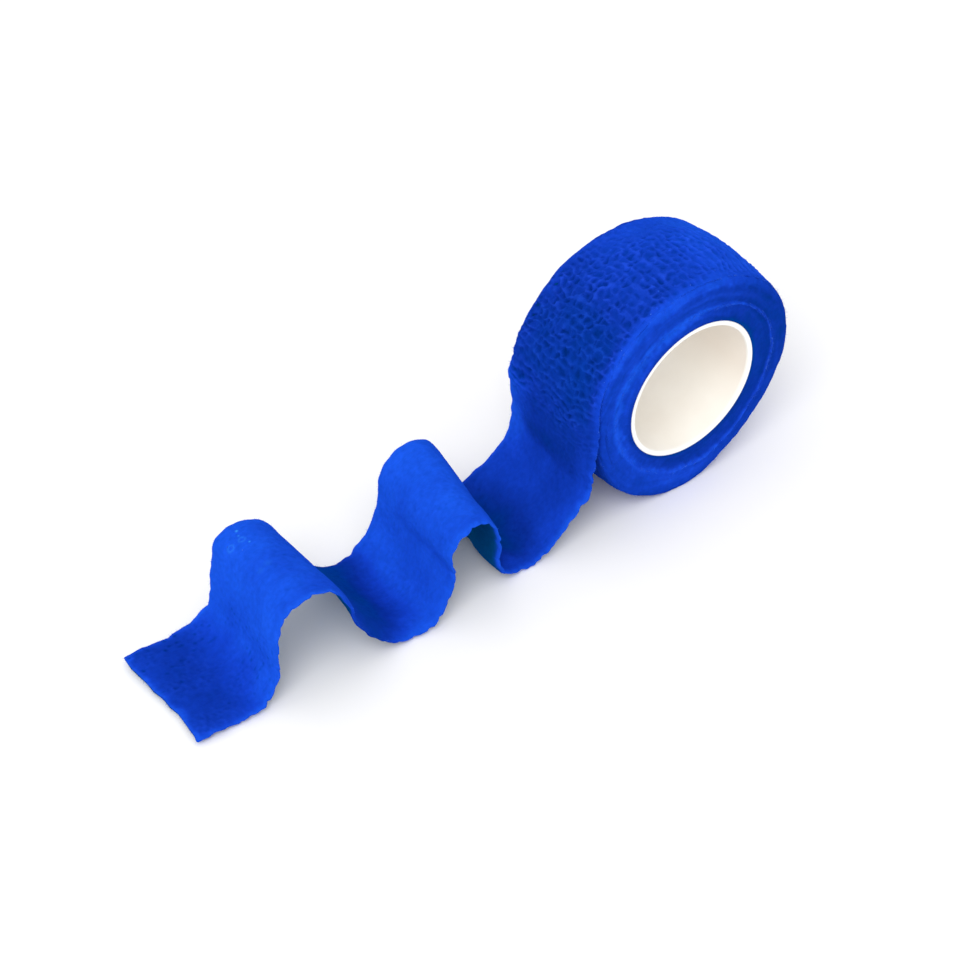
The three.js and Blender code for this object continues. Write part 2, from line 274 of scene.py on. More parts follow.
# Light specks (r 0) and faint rings on the outer wave, where the cloth is
# stretched: their place as a row of TAIL and a share of the width, their
# radius and line in millimetres and how light they are.
Mark = namedtuple("Mark", "row across r line light")
MARKS = [
    Mark(28.36, 0.91, 0.0, 0.42, 0.75),
    Mark(28.44, 0.86, 0.0, 0.32, 0.40),
    Mark(28.27, 0.75, 0.0, 0.30, 0.60),
    Mark(28.44, 0.81, 0.55, 0.34, 0.20),
    Mark(29.03, 0.81, 0.60, 0.34, 0.20),
    Mark(28.33, 0.47, 0.0, 1.0, 0.08),
    Mark(28.72, 0.45, 0.0, 0.9, 0.08),
]

# Painted light along the strip's thin edges: how much lighter they are than the rest of it.
Rim = namedtuple("Rim", "at near far")
RIM_LIGHT = [
    Rim("on_roll_1", 0.6, 0.8),
    Rim("swing_out_1", 1.0, 0.8),
    Rim("valley_2_a", 1.0, 0.8),
    Rim("valley_2_b", 1.0, 0.5),
    Rim("valley_2_out", 0.5, 0.3),
    Rim("crest_1_rise", 0.0, 0.3),
    Rim("crest_1_in", 0.1, 0.6),
    Rim("crest_1_b", 1.0, 1.0),
    Rim("cut_end", 1.0, 1.0),
]

# ============================================================================
# Helpers
# ============================================================================


def look_up(table, key, value, at):
    """Smooth values between the rows of a table, for an array of places in its key column."""
    keys = np.array([getattr(r, key) for r in table], float)
    vals = np.array([getattr(r, value) for r in table], float)
    at = np.clip(np.asarray(at, float), keys[0], keys[-1])
    i = np.clip(np.searchsorted(keys, at, side="right") - 1, 0, len(keys) - 2)
    t = (at - keys[i]) / (keys[i + 1] - keys[i])
    a, b = vals[np.maximum(i - 1, 0)], vals[i]
    c, d = vals[i + 1], vals[np.minimum(i + 2, len(keys) - 1)]
    return b + 0.5 * t * (
        c - a + t * (2 * a - 5 * b + 4 * c - d + t * (3 * (b - c) + d - a))
    )


def smooth(edge0, edge1, x):
    t = np.clip((x - edge0) / (edge1 - edge0), 0, 1)
    return t * t * (3 - 2 * t)


def mix(a, b, t):
    return a + (b - a) * t


def chance(ix, iy, iz, seed):
    """A repeatable value from 0 to 1 for each cell of a grid."""
    h = (
        ix.astype(np.int64) * 0x8DA6B343
        + iy.astype(np.int64) * 0xD8163841
        + iz.astype(np.int64) * 0xCB1AB31F
        + seed * 0x9E3779B1
    ) & 0xFFFFFFFF
    h ^= h >> 13
    h = (h * 0x5BD1E995) & 0xFFFFFFFF
    h ^= h >> 15
    h = (h * 0x27D4EB2F) & 0xFFFFFFFF
    h ^= h >> 16
    return h / 4294967295.0


def noise(x, y, z=0.0, seed=0, octaves=1):
    """Smooth repeatable noise from about -1 to 1."""
    x, y, z = np.broadcast_arrays(*(np.asarray(v, float) for v in (x, y, z)))
    total, size, weight = 0.0, 1.0, 1.0
    norm = 0.0
    for o in range(octaves):
        px, py, pz = x * size + 17.3 * o, y * size - 9.1 * o, z * size + 4.7 * o
        ix, iy, iz = np.floor(px), np.floor(py), np.floor(pz)
        fx, fy, fz = px - ix, py - iy, pz - iz
        wx, wy, wz = (f * f * f * (f * (f * 6 - 15) + 10) for f in (fx, fy, fz))
        value = 0.0
        for dx in (0, 1):
            for dy in (0, 1):
                for dz in (0, 1):
                    w = (wx if dx else 1 - wx) * (wy if dy else 1 - wy) * (wz if dz else 1 - wz)
                    value = value + w * chance(ix + dx, iy + dy, iz + dz, seed + 31 * o)
        total = total + weight * (2 * value - 1)
        norm += weight
        size *= 2.03
        weight *= 0.5
    return total / norm * 1.6


def cells(u, v, seed, jitter=0.85):
    """Irregular cells in offset rows, each about 1 x 1. Returns the distances to the nearest and second-nearest centres, the nearest cell's own chance value, and how much the wall between the two runs along v."""
    iu, iv = np.floor(u), np.floor(v)
    d1 = np.full(u.shape, 9.0)
    d2 = np.full(u.shape, 9.0)
    own = np.zeros(u.shape)
    cu1, cv1, cu2, cv2 = (np.zeros(u.shape) for _ in range(4))
    for dv in (-2, -1, 0, 1, 2):
        for du in (-2, -1, 0, 1, 2):
            i, j = iu + du, iv + dv
            zero = np.zeros_like(i)
            cu = i + 0.5 + 0.5 * (j % 2) + jitter * (chance(i, j, zero, seed) - 0.5)
            cv = j + 0.5 + jitter * (chance(i, j, zero, seed + 1) - 0.5)
            d = np.hypot(u - cu, v - cv)
            first = d < d1
            second = ~first & (d < d2)
            d2 = np.where(first, d1, np.where(second, d, d2))
            cu2 = np.where(first, cu1, np.where(second, cu, cu2))
            cv2 = np.where(first, cv1, np.where(second, cv, cv2))
            d1 = np.where(first, d, d1)
            cu1, cv1 = np.where(first, cu, cu1), np.where(first, cv, cv1)
            own = np.where(first, chance(i, j, zero, seed + 2), own)
    across = np.abs(cu1 - cu2) / np.maximum(np.hypot(cu1 - cu2, cv1 - cv2), 1e-6)
    return d1, d2, own, across


def lobes(s, pitch, deep, seed):
    """How far an edge is drawn in at each place along it: round lobes between small notches at uneven spacing."""
    rng = np.random.default_rng(seed)
    marks = np.cumsum(pitch * rng.uniform(0.6, 1.5, int(np.max(s) / pitch * 1.6) + 12)) - 3 * pitch
    depth = deep * rng.uniform(0.15, 1.0, len(marks)) ** 1.3
    i = np.clip(np.searchsorted(marks, s) - 1, 0, len(marks) - 2)
    t = np.clip((s - marks[i]) / (marks[i + 1] - marks[i]), 0, 1)
    return mix(depth[i], depth[i + 1], t) * (1 - 4 * t * (1 - t)) ** 1.5


def centripetal(points, at):
    """three.js's centripetal CatmullRomCurve3.getPoint, for an array of parameters."""
    points = np.asarray(points, float)
    n = len(points)
    p = np.clip(at, 0, 1) * (n - 1)
    i = np.minimum(np.floor(p).astype(int), n - 2)
    w = (p - i)[:, None]
    ends = np.vstack([2 * points[0] - points[1], points, 2 * points[-1] - points[-2]])
    p0, p1, p2, p3 = ends[i], ends[i + 1], ends[i + 2], ends[i + 3]
    gap = lambda a, b: np.maximum(((a - b) ** 2).sum(1) ** 0.25, 1e-4)[:, None]
    d0, d1, d2 = gap(p0, p1), gap(p1, p2), gap(p2, p3)
    t1 = ((p1 - p0) / d0 - (p2 - p0) / (d0 + d1) + (p2 - p1) / d1) * d1
    t2 = ((p2 - p1) / d1 - (p3 - p1) / (d1 + d2) + (p3 - p2) / d2) * d1
    return (
        p1
        + t1 * w
        + (-3 * p1 + 3 * p2 - 2 * t1 - t2) * w**2
        + (2 * p1 - 2 * p2 + t1 + t2) * w**3
    )


def unit(v):
    return v / np.maximum(np.linalg.norm(v, axis=-1, keepdims=True), 1e-12)


def ring_faces(rings, columns, joined):
    """Quads between rings of points; joined says whether the last ring meets the first."""
    i = np.arange(rings if joined else rings - 1)[:, None]
    j = np.arange(columns)[None, :]
    k, l = (i + 1) % rings, (j + 1) % columns
    quads = np.stack(
        [i * columns + j, i * columns + l, k * columns + l, k * columns + j], axis=-1
    )
    return quads.reshape(-1, 4)


def outward(points, quads):
    """True if the closed surface's faces look out."""
    a, b, c, d = (points[quads[:, k]] for k in range(4))
    return float((a * (np.cross(b, c) + np.cross(c, d))).sum()) > 0


def add_mesh(name, points, quads, more=(), attributes=None, smooth_shading=True):
    faces = [list(map(int, q)) for q in quads] + [list(map(int, f)) for f in more]
    me = bpy.data.meshes.new(name)
    me.from_pydata((np.asarray(points) * MM).tolist(), [], faces)
    me.validate()
    me.update()
    me.polygons.foreach_set("use_smooth", [smooth_shading] * len(me.polygons))
    for key, value in (attributes or {}).items():
        value = np.asarray(value, np.float32)
        if value.ndim == 1:
            me.attributes.new(key, "FLOAT", "POINT").data.foreach_set("value", value)
        else:
            me.attributes.new(key, "FLOAT_VECTOR", "POINT").data.foreach_set(
                "vector", value.ravel()
            )
    obj = bpy.data.objects.new(name, me)
    bpy.context.scene.collection.objects.link(obj)
    return obj


# ============================================================================
# The roll's own shape: its outer profile at any angle
# ============================================================================
PROFILE_SAMPLES = 481


def roll_profile(deg, lower=0.0):
    """For each angle, the roll's section from the near bore edge over the near
    shoulder, the middle and the far shoulder to the far bore edge: radius, y
    and the distance along it from the middle of the width. lower takes that
    much off every radius beyond the faces, by angle."""
    deg = np.atleast_1d(np.asarray(deg, float))
    near, middle, far = (
        look_up(OUTLINE, "deg", c, deg) - lower for c in ("near", "middle", "far")
    )
    rows = []
    for f in FACE_RINGS:
        rows.append((np.full(deg.shape, f.r), np.full(deg.shape, -HALF + f.back)))
    for s in SHOULDER:
        rows.append((near - s.in_from_rim, np.full(deg.shape, -HALF + s.back)))
    for t in (-0.5, 0.0, 0.5):
        rows.append(
            (
                near * t * (t - 1) / 2 + middle * (1 - t * t) + far * t * (t + 1) / 2,
                np.full(deg.shape, t * (HALF - SHOULDER[-1].back)),
            )
        )
    for s in reversed(SHOULDER):
        rows.append((far - s.in_from_rim, np.full(deg.shape, HALF - s.back)))
    for f in reversed(FACE_RINGS):
        rows.append((np.full(deg.shape, f.r), np.full(deg.shape, HALF - f.back)))
    points = np.array(rows)  # rows, (r, y), angles
    # a chord-length Catmull-Rom through the rows, sampled evenly along each span
    mean = points.mean(axis=2)
    chord = np.concatenate([[0], np.cumsum(np.hypot(*np.diff(mean, axis=0).T))])
    at = np.linspace(0, chord[-1], PROFILE_SAMPLES)
    i = np.clip(np.searchsorted(chord, at, side="right") - 1, 0, len(chord) - 2)
    w = ((at - chord[i]) / (chord[i + 1] - chord[i]))[:, None, None]
    n = len(chord) - 1

    def slope(k):
        lo, hi = np.maximum(k - 1, 0), np.minimum(k + 1, n)
        return (points[hi] - points[lo]) / (chord[hi] - chord[lo])[:, None, None]

    span = (chord[i + 1] - chord[i])[:, None, None]
    m0, m1 = slope(i) * span, slope(i + 1) * span
    p0, p1 = points[i], points[i + 1]
    curve = (
        (2 * w**3 - 3 * w**2 + 1) * p0
        + (w**3 - 2 * w**2 + w) * m0
        + (-2 * w**3 + 3 * w**2) * p1
        + (w**3 - w**2) * m1
    )
    r, y = curve[:, 0].T, curve[:, 1].T  # angles x samples
    steps = np.hypot(np.diff(r, axis=1), np.diff(y, axis=1))
    along = np.concatenate([np.zeros((len(deg), 1)), np.cumsum(steps, axis=1)], axis=1)
    for k in range(len(deg)):
        along[k] -= np.interp(0.0, y[k], along[k]) if y[k][0] < y[k][-1] else 0.0
    return r, y, along


def on_profile(profile, where):
    """Radius, y, and the outward direction (dr, dy) on each angle's profile at distances where[angle, :] from the middle."""
    r, y, along = profile
    out = np.zeros(where.shape + (4,))
    for k in range(len(where)):
        rr = np.interp(where[k], along[k], r[k])
        yy = np.interp(where[k], along[k], y[k])
        e = 0.12
        dr = np.interp(where[k] + e, along[k], r[k]) - np.interp(where[k] - e, along[k], r[k])
        dy = np.interp(where[k] + e, along[k], y[k]) - np.interp(where[k] - e, along[k], y[k])
        length = np.maximum(np.hypot(dr, dy), 1e-9)
        out[k, :, 0], out[k, :, 1] = rr, yy
        out[k, :, 2], out[k, :, 3] = dy / length, -dr / length
    return out


def from_polar(deg, r, y):
    a = np.radians(deg)
    return np.stack([r * np.cos(a), y + 0 * r, AXIS_Z + r * np.sin(a)], axis=-1)


def sunk(deg):
    """How much lower the wound body lies than the finished outline, near where the last turn leaves it."""
    return STRIP_THICK * smooth(150, 176, deg)


# ============================================================================
# The strip: its outermost turn on the roll, then its loose end
# ============================================================================
near_line = [(t.near_x, t.slide - t.width / 2, t.near_z) for t in TAIL]
far_line = [(t.far_x, t.slide + t.width / 2, t.far_z) for t in TAIL]

# even steps along the middle of the loose end
fine_u = np.linspace(0, 1, 6001)
fine_mid = (centripetal(near_line, fine_u) + centripetal(far_line, fine_u)) / 2
fine_s = np.concatenate([[0], np.cumsum(np.linalg.norm(np.diff(fine_mid, axis=0), axis=1))])
TAIL_LENGTH = float(fine_s[-1])
leave_s = float(np.interp(ROW["hang_1"] / (len(TAIL) - 1), fine_u, fine_s))
steps_a = np.arange(0, leave_s, LEAVING_STEP)
steps_b = np.linspace(leave_s, TAIL_LENGTH, int((TAIL_LENGTH - leave_s) / TAIL_STEP) + 1)
tail_s = np.concatenate([steps_a, steps_b])
tail_u = np.interp(tail_s, fine_s, fine_u)

first_deg = math.degrees(math.atan2(fine_mid[0][2] - AXIS_Z, fine_mid[0][0]))
turn_mm_per_deg = math.radians(1) * 23.9
roll_deg = [START_DEG]
while True:
    step = np.interp(roll_deg[-1], [k.deg for k in SPACING], [k.step for k in SPACING])
    if roll_deg[-1] + 1.4 * step / turn_mm_per_deg > first_deg:
        break
    roll_deg.append(roll_deg[-1] + step / turn_mm_per_deg)
roll_deg = np.array(roll_deg)
tail_mid = (centripetal(near_line, tail_u) + centripetal(far_line, tail_u)) / 2
tail_deg = np.degrees(np.arctan2(tail_mid[:, 2] - AXIS_Z, tail_mid[:, 0]))
tail_deg = np.where(tail_deg < 0, 185.0, np.minimum(tail_deg, 185.0))

ROWS = len(roll_deg) + len(tail_u)
row_deg = np.concatenate([roll_deg, tail_deg])
row_u = np.concatenate([np.full(len(roll_deg), 0.0), tail_u])
row_s = np.concatenate(
    [(roll_deg - roll_deg[0]) * turn_mm_per_deg, (first_deg - roll_deg[0]) * turn_mm_per_deg + tail_s]
)
TURN_LENGTH = (first_deg - roll_deg[0]) * turn_mm_per_deg
FLAT_LENGTH = TURN_LENGTH + TAIL_LENGTH
NET_END = TURN_LENGTH + float(np.interp(ROW["leaves"] / (len(TAIL) - 1), fine_u, fine_s))
off = smooth(159, 181, row_deg)  # 0 on the roll, 1 on the loose end
off[: len(roll_deg)] = 0

OUTER = int(STRIP_WIDTH / ACROSS_STEP)
v_outer = np.linspace(0, 1, OUTER)
v_inner = np.concatenate([[0.985, 0.965, 0.94], np.linspace(0.88, 0.12, INNER_COLUMNS), [0.06, 0.035, 0.015]])
v_all = np.concatenate([v_outer, [1.0], v_inner, [0.0]])
side_all = np.concatenate([np.ones(OUTER), [0.0], -np.ones(len(v_inner)), [0.0]])
COLUMNS = len(v_all)


def strip_section(deg, u, s, blend, v, side):
    """Points of the strip's surface. side is 1 on its outer face, -1 on its inner face and 0 at the middle of its edges."""
    rows, cols = len(deg), len(v)
    V = np.broadcast_to(v, (rows, cols))
    SIDE = np.broadcast_to(side, (rows, cols))
    S = np.broadcast_to(s[:, None], (rows, cols))
    DEG = np.broadcast_to(deg[:, None], (rows, cols))
    B = blend[:, None]
    from_edge = np.minimum(V, 1 - V) * STRIP_WIDTH  # millimetres from the nearer edge
    is_near = V < 0.5

    # -- the uneven edges: drawn in between round lobes
    loose = smooth(4, 16, s - TURN_LENGTH)
    near_in = (lobes(s, 2.6, 1.0, 11) - 0.22) * mix(0.10, 0.72, loose) + 0.11 * noise(s / 1.1, 3.0, 0, 5) * mix(0.4, 1.0, loose)
    far_in = (lobes(s, 4.6, 0.8, 12) - 0.15) * mix(0.10, 0.45, loose) + 0.06 * noise(s / 2.1, 8.0, 0, 6)
    drawn_in = np.where(is_near, near_in[:, None], far_in[:, None]) * np.exp(-((from_edge / 1.5) ** 2))

    # -- on the roll
    d = np.where(deg < -180, deg + 360, deg)
    low = np.where(deg < -180, sunk(deg + 360), 0.0)
    profile = roll_profile(np.clip(d, -180, 180), low)
    edge_near = look_up(EDGES, "deg", "near", deg)[:, None]
    edge_far = look_up(EDGES, "deg", "far", deg)[:, None]
    where = mix(-edge_near, edge_far, V) + np.where(is_near, drawn_in, -drawn_in)
    p = on_profile(profile, where)
    roll_outer = from_polar(DEG, p[..., 0], p[..., 1])
    a = np.radians(DEG)
    roll_out = unit(np.stack([p[..., 2] * np.cos(a), p[..., 3], p[..., 2] * np.sin(a)], -1))
    thick_roll = mix(0.16, 0.92, smooth(0.1, 3.2, from_edge))
    lip = 0.05 * np.exp(-((from_edge / 1.1) ** 2))

    # -- on the loose end
    near, far = centripetal(near_line, u), centripetal(far_line, u)
    e = 0.0025
    near_d = centripetal(near_line, u + e) - centripetal(near_line, u - e)
    far_d = centripetal(far_line, u + e) - centripetal(far_line, u - e)
    Y = np.where(is_near, drawn_in, -drawn_in) / STRIP_WIDTH
    VV = (V + Y)[..., None]
    middle = near[:, None] * (1 - VV) + far[:, None] * VV
    along = near_d[:, None] * (1 - VV) + far_d[:, None] * VV
    tail_out = unit(np.cross(np.broadcast_to((far - near)[:, None], along.shape), along))
    droop = np.interp(u * (len(TAIL) - 1), np.arange(len(TAIL)), [t.droop for t in TAIL])
    share = np.abs(2 * V - 1) ** 3.8
    middle = middle - tail_out * (droop[:, None] * share)[..., None]
    thick_tail = LOOSE_THICK * mix(0.62, 1.0, smooth(0.0, 1.2, from_edge))
    tail_outer = middle + tail_out * (thick_tail / 2)[..., None]

    outer = mix(roll_outer, tail_outer, B[..., None])
    out = unit(mix(roll_out, tail_out, B[..., None]))
    thick = mix(thick_roll, thick_tail, B)
    lift = mix(lip, 0.0, B)

    # -- relief
    YY = (V - 0.5) * STRIP_WIDTH
    relief, ridge, pit = net_relief(S, YY, DEG, V * STRIP_WIDTH)
    fine = tail_relief(S, YY, u)
    fade = smooth(0.0, 1.3, from_edge)
    height = relief * mix(0.35, 1.0, fade) + fine * B * mix(0.5, 1.0, fade)
    edge_wave = 0.16 * noise(S / 1.6, 2.0 * is_near, 0, 41) * np.exp(-((from_edge / 1.3) ** 2))
    wave = loose_wave(S, YY) * B
    offset_outer = lift + height + edge_wave * B + wave
    offset_inner = -thick + lift * 0.5 + edge_wave * B + wave + 0.4 * fine * B
    offset_edge = (offset_outer + offset_inner) / 2
    offset = np.where(SIDE > 0.5, offset_outer, np.where(SIDE < -0.5, offset_inner, offset_edge))
    points = outer + out * offset[..., None]
    # a small pucker where the strip turns up into the wave next to the roll
    row = u[:, None] * (len(TAIL) - 1)
    pucker = np.exp(-(((row - ROW["crest_2_rise"] + 0.7) / 0.9) ** 2)) * np.exp(-(((V - 0.43) / 0.085) ** 2)) * B
    points[..., 0] += 0.9 * pucker
    # the cut end: not quite straight, and its corners are worn round
    to_end = np.exp(-(((FLAT_LENGTH - S) / 3.0) ** 2))
    corner = np.exp(-((from_edge / 0.9) ** 2))
    shorten = 0.55 * np.exp(-(((V - 0.36) / 0.20) ** 2)) - 0.25 * np.exp(-(((V - 0.9) / 0.09) ** 2)) + 0.12 * noise(YY / 2.6, 1.0, 0, 45) + 0.07 * noise(YY / 1.2, 2.0, 0, 46) - 0.10 * corner
    points = points - unit(along) * (shorten * to_end * B)[..., None]
    # the edge's rounded middle stands out a little
    bulge = np.where(SIDE == 0, 0.14, 0.0) * np.where(is_near, -1, 1)
    across = unit(np.broadcast_to((far - near)[:, None], points.shape))
    side_roll = unit(np.stack([0 * a, np.ones_like(a), 0 * a], -1))
    points = points + unit(mix(side_roll, across, B[..., None])) * bulge[..., None]
    # nothing goes below the ground, and what lies on it is pressed a little flat
    floor = np.where(SIDE > 0.5, 0.30, np.where(SIDE < -0.5, 0.02, 0.14)) * mix(0.6, 1.0, fade)
    z = points[..., 2]
    points[..., 2] = floor + np.maximum(z - floor, 0) + 0.0
    return points, ridge, pit, height, from_edge


def net_relief(S, Y, DEG, from_near):
    """The net of crinkles on the roll: height in millimetres, ridge and pit from 0 to 1. Its cells lie in rows across the strip, like bricks with rounded corners."""
    strength = look_up(NET, "deg", "strength", DEG)
    far_rim = look_up(NET, "deg", "far_rim", DEG)
    drawn = np.clip(look_up(NET, "deg", "along", DEG), 0, 1)
    strength = strength * mix(1.0, far_rim, smooth(1.0, 9.0, Y))
    patch = noise(S / 5.0, Y / 4.0, 0, 21, 2)
    strength = np.clip(strength * (1 + 0.20 * patch), 0, 1.3)
    ends = NET_END + 1.0 + 0.16 * Y + 1.6 * noise(S / 5.0, Y / 3.0, 0, 20)
    strength = strength * (1 - smooth(-2.5, 3.0, S - ends))
    strength = strength * smooth(0.0, 1.6, from_near + 0.4 * noise(S / 1.6, Y / 1.6, 0, 19))
    ws = S + 0.50 * noise(S / 2.7, Y / 2.7, 0, 22) + 0.24 * noise(S / 0.95, Y / 0.95, 0, 27)
    wy = Y + 0.50 * noise(S / 2.7, Y / 2.7, 0, 23) + 0.24 * noise(S / 0.95, Y / 0.95, 0, 28)
    U = ws / 1.66
    i = np.floor(U)
    p = 2 * (U - i) - 1  # -1 to 1 through the row
    V = wy / mix(1.8, 2.3, drawn) + 0.5 * (i % 2) + 0.35 * chance(i, 0 * i, 0 * i, 30)
    k = np.floor(V)
    wall = lambda n: n + 0.6 * (chance(i, n, 0 * i, 31) - 0.5)
    before = np.where(V < wall(k), wall(k - 1), np.where(V > wall(k + 1), wall(k + 1), wall(k)))
    after = np.where(V < wall(k), wall(k), np.where(V > wall(k + 1), wall(k + 2), wall(k + 1)))
    number = np.where(V < wall(k), k - 1, np.where(V > wall(k + 1), k + 1, k))
    q = 2 * (V - before) / np.maximum(after - before, 0.3) - 1
    own = chance(i, number, 0 * i, 32)
    own2 = chance(i, number, 0 * i, 33)
    p = p + 0.2 * (own - 0.5)
    power = 2.5
    no_wall = mix(0.30, 1.0, smooth(0.15, 0.5, own)) * mix(1.0, 0.4, drawn * (own2 > 0.35))
    round_r = (np.abs(p) ** power + np.abs(q) ** power * no_wall) ** (1 / power)
    sharp = 0.86 + 0.10 * noise(S / 1.4, Y / 1.4, 0, 34)
    ridge = smooth(sharp - 0.15, sharp + 0.07, round_r)
    ridge = ridge * np.clip(0.80 + 0.60 * noise(S / 1.2, Y / 1.2, 0, 25, 2), 0.08, 1.2)
    # the pit lies off the cell's middle, towards the side the light comes from, where the ridge would shade it; the
    # darkness it gives the colour is painted shade
    hollow_r = (np.abs(p - 0.08) ** 2.2 + np.abs(q - 0.22) ** 2.2) ** (1 / 2.2)
    pit = (1 - smooth(0.22, 0.78, hollow_r + 0.12 * noise(S / 0.6, Y / 0.6, 0, 36))) * (0.22 + 0.78 * own2)
    streak = np.clip(noise(S / 0.62, Y / 2.6, 0, 26, 2) - 0.1, 0, 1)
    ridge = np.clip(ridge + drawn * 0.7 * streak, 0, 1.3)
    grain = noise(S / 0.55, Y / 0.6, 0, 29, 2)
    groove = np.clip(1 - np.abs(p) ** 1.6, 0, 1) * smooth(3.0, 8.5, Y) * (0.5 + chance(i, 0 * i, 0 * i, 37))
    height = strength * (0.19 * ridge - 0.26 * pit - 0.20 * groove) + 0.04 * (0.3 + strength) * grain
    return height, ridge * strength + 0.16 * strength * grain, pit * strength


def tail_relief(S, Y, u):
    """Faint crinkles of the loose end, stronger towards the cut end."""
    row = u[:, None] * (len(TAIL) - 1)
    free = smooth(ROW["crest_1_fall"], ROW["valley_1_b"], row)
    hang = 1 - smooth(ROW["hang_2"], ROW["valley_3_in"], row)
    amount = 0.045 + 0.075 * free + 0.05 * hang
    ws = S + 0.4 * noise(S / 2.1, Y / 2.1, 0, 51)
    wy = Y + 0.4 * noise(S / 2.1, Y / 2.1, 0, 52)
    d1, d2, own, across = cells(ws / 1.25, wy / 1.5, 53)
    wall = np.exp(-(((d2 - d1) / 0.22) ** 2)) * mix(0.5, 1.0, across)
    patch = np.clip(0.55 + 0.75 * noise(S / 5.0, Y / 5.0, 0, 54, 2), 0.05, 1.3)
    crinkle = (wall - 0.7 * np.exp(-((d1 / 0.3) ** 2)) * own) * patch
    grain = noise(S / 0.7, Y / 0.7, 0, 55, 2)
    return amount * crinkle + 0.022 * grain


def loose_wave(S, Y):
    """Soft unevenness of a layer that nothing holds flat."""
    return 0.20 * noise(S / 9.0, Y / 11.0, 0, 61) + 0.10 * noise(S / 4.0, Y / 4.5, 0, 62)


points, ridge, pit, height, from_edge = strip_section(row_deg, row_u, row_s, off, v_all, side_all)

# the cut end: the two faces close on a thin rounded edge
end_along = unit(points[-1] - points[-3])
mid_last = np.zeros_like(points[-1])
for k in range(COLUMNS):
    outer_at = np.array([np.interp(v_all[k], v_outer, points[-1][:OUTER, c]) for c in range(3)])
    order = np.argsort(v_all[OUTER + 1 : -1])
    inner_at = np.array(
        [np.interp(v_all[k], v_all[OUTER + 1 : -1][order], points[-1][OUTER + 1 : -1][order, c]) for c in range(3)]
    )
    mid_last[k] = (outer_at + inner_at) / 2
cap = mix(points[-1], mid_last, 0.55) + end_along * 0.13
cap[:, 2] = np.maximum(cap[:, 2], 0.05)
grid = np.concatenate([points, cap[None]], axis=0)
strip_points = grid.reshape(-1, 3)
strip_quads = ring_faces(ROWS + 1, COLUMNS, False)
flat_index = lambda i: list(range(i * COLUMNS, (i + 1) * COLUMNS))
if not outward(strip_points, strip_quads):
    strip_quads = strip_quads[:, ::-1]
    caps = [flat_index(0), flat_index(ROWS)[::-1]]
else:
    caps = [flat_index(0)[::-1], flat_index(ROWS)]


def extend(a):
    return np.concatenate([a, a[-1:]], axis=0)


# the strip's painted light and shade from the table above, spread across its width
painted_shading_at = np.array([ROW[t.at] for t in PAINTED_SHADING], float)
row_all = row_u * (len(TAIL) - 1)
painted_shading_near, painted_shading_mid, painted_shading_far = (
    np.interp(row_all, painted_shading_at, [getattr(t, c) for t in PAINTED_SHADING])[:, None] for c in ("near", "middle", "far")
)
V_ALL = np.broadcast_to(v_all[None], (ROWS, COLUMNS))
S_ALL = np.broadcast_to(row_s[:, None], (ROWS, COLUMNS))
wander = 0.10 * noise(S_ALL / 6.0, V_ALL * 3.2, 0, 81, 2)
w_near = np.clip(1 - (V_ALL + wander) / 0.26, 0, 1)
w_far = np.clip(1 - (1 - V_ALL + wander) / 0.40, 0, 1)
w_near, w_far = (w * w * (3 - 2 * w) for w in (w_near, w_far))
tail_painted_shading = painted_shading_mid + (painted_shading_near - painted_shading_mid) * w_near + (painted_shading_far - painted_shading_mid) * w_far
tail_painted_shading = tail_painted_shading + 0.06 * noise(S_ALL / 4.5, V_ALL * 6.0, 0, 82, 2)
# the strip's near margin on the roll takes the shoulder's painted light
shoulder_painted_light = look_up(FACE_SHADING, "deg", "shoulder", np.clip(row_deg, -180, 180))[:, None]
near_shoulder_light_mask = np.exp(-((V_ALL * STRIP_WIDTH / 1.6) ** 2))
# the outermost turn's painted light and shade
wound_shading_near, wound_shading_far = (look_up(WOUND_SHADING, "deg", c, row_deg)[:, None] for c in ("near", "far"))
roll_painted_shading = mix(wound_shading_near, wound_shading_far, V_ALL) + 0.07 * noise(S_ALL / 6.0, V_ALL * 4.0, 0, 83, 3)
roll_painted_shading = roll_painted_shading + (shoulder_painted_light - roll_painted_shading) * near_shoulder_light_mask
tone_and_painted_shading = mix(roll_painted_shading, tail_painted_shading, smooth(163, 184, row_deg)[:, None])
to_cut = (FLAT_LENGTH - S_ALL) + 0.5 * noise(V_ALL * 7.0, 3.0, 0, 84)
# small dark flecks on the loose end
flecks = cells(S_ALL / 1.7, V_ALL * STRIP_WIDTH / 1.5, 91)
fleck_patch = np.clip(0.2 + 1.3 * noise(S_ALL / 6.5, V_ALL * 3.4, 0, 92, 2), 0, 1)
fleck_rows = np.interp(row_all, [ROW["leaves"], ROW["hang_3"], ROW["valley_3_b"], ROW["crest_1_c"], ROW["valley_1_in"], ROW["cut_end"]], [0.0, 0.5, 0.25, 0.3, 0.8, 1.0])[:, None]
specks = -0.40 * (flecks[2] > 0.55) * (1 - smooth(0.10, 0.30, flecks[0])) * fleck_patch * fleck_rows * (side_all > 0)[None]
# painted light along the strip's edges and at its cut end
rim_light_near, rim_light_far = (
    np.interp(row_all, [ROW[r.at] for r in RIM_LIGHT], [getattr(r, c) for r in RIM_LIGHT])[:, None] for c in ("near", "far")
)
edge_light = np.exp(-((from_edge / 0.7) ** 2)) * np.where(V_ALL < 0.5, rim_light_near, rim_light_far)
edge_light = np.maximum(edge_light, 1 - smooth(0.2, 1.5, to_cut)) * off[:, None]
tone_and_painted_shading = np.clip(tone_and_painted_shading + 0.30 * edge_light, 0, 1)
# the colour's relief: the net's ridges and the loose end's raised crinkles are painted lighter, its pits and the flecks
# darker; partly the cloth's own lighter ridges, partly painted light on what stands up and painted shade in the hollows
relief_shading = np.clip(0.42 + 0.30 * ridge - 0.30 * pit + specks + 1.6 * (height - 0.19 * ridge + 0.26 * pit) * off[:, None], 0, 1)
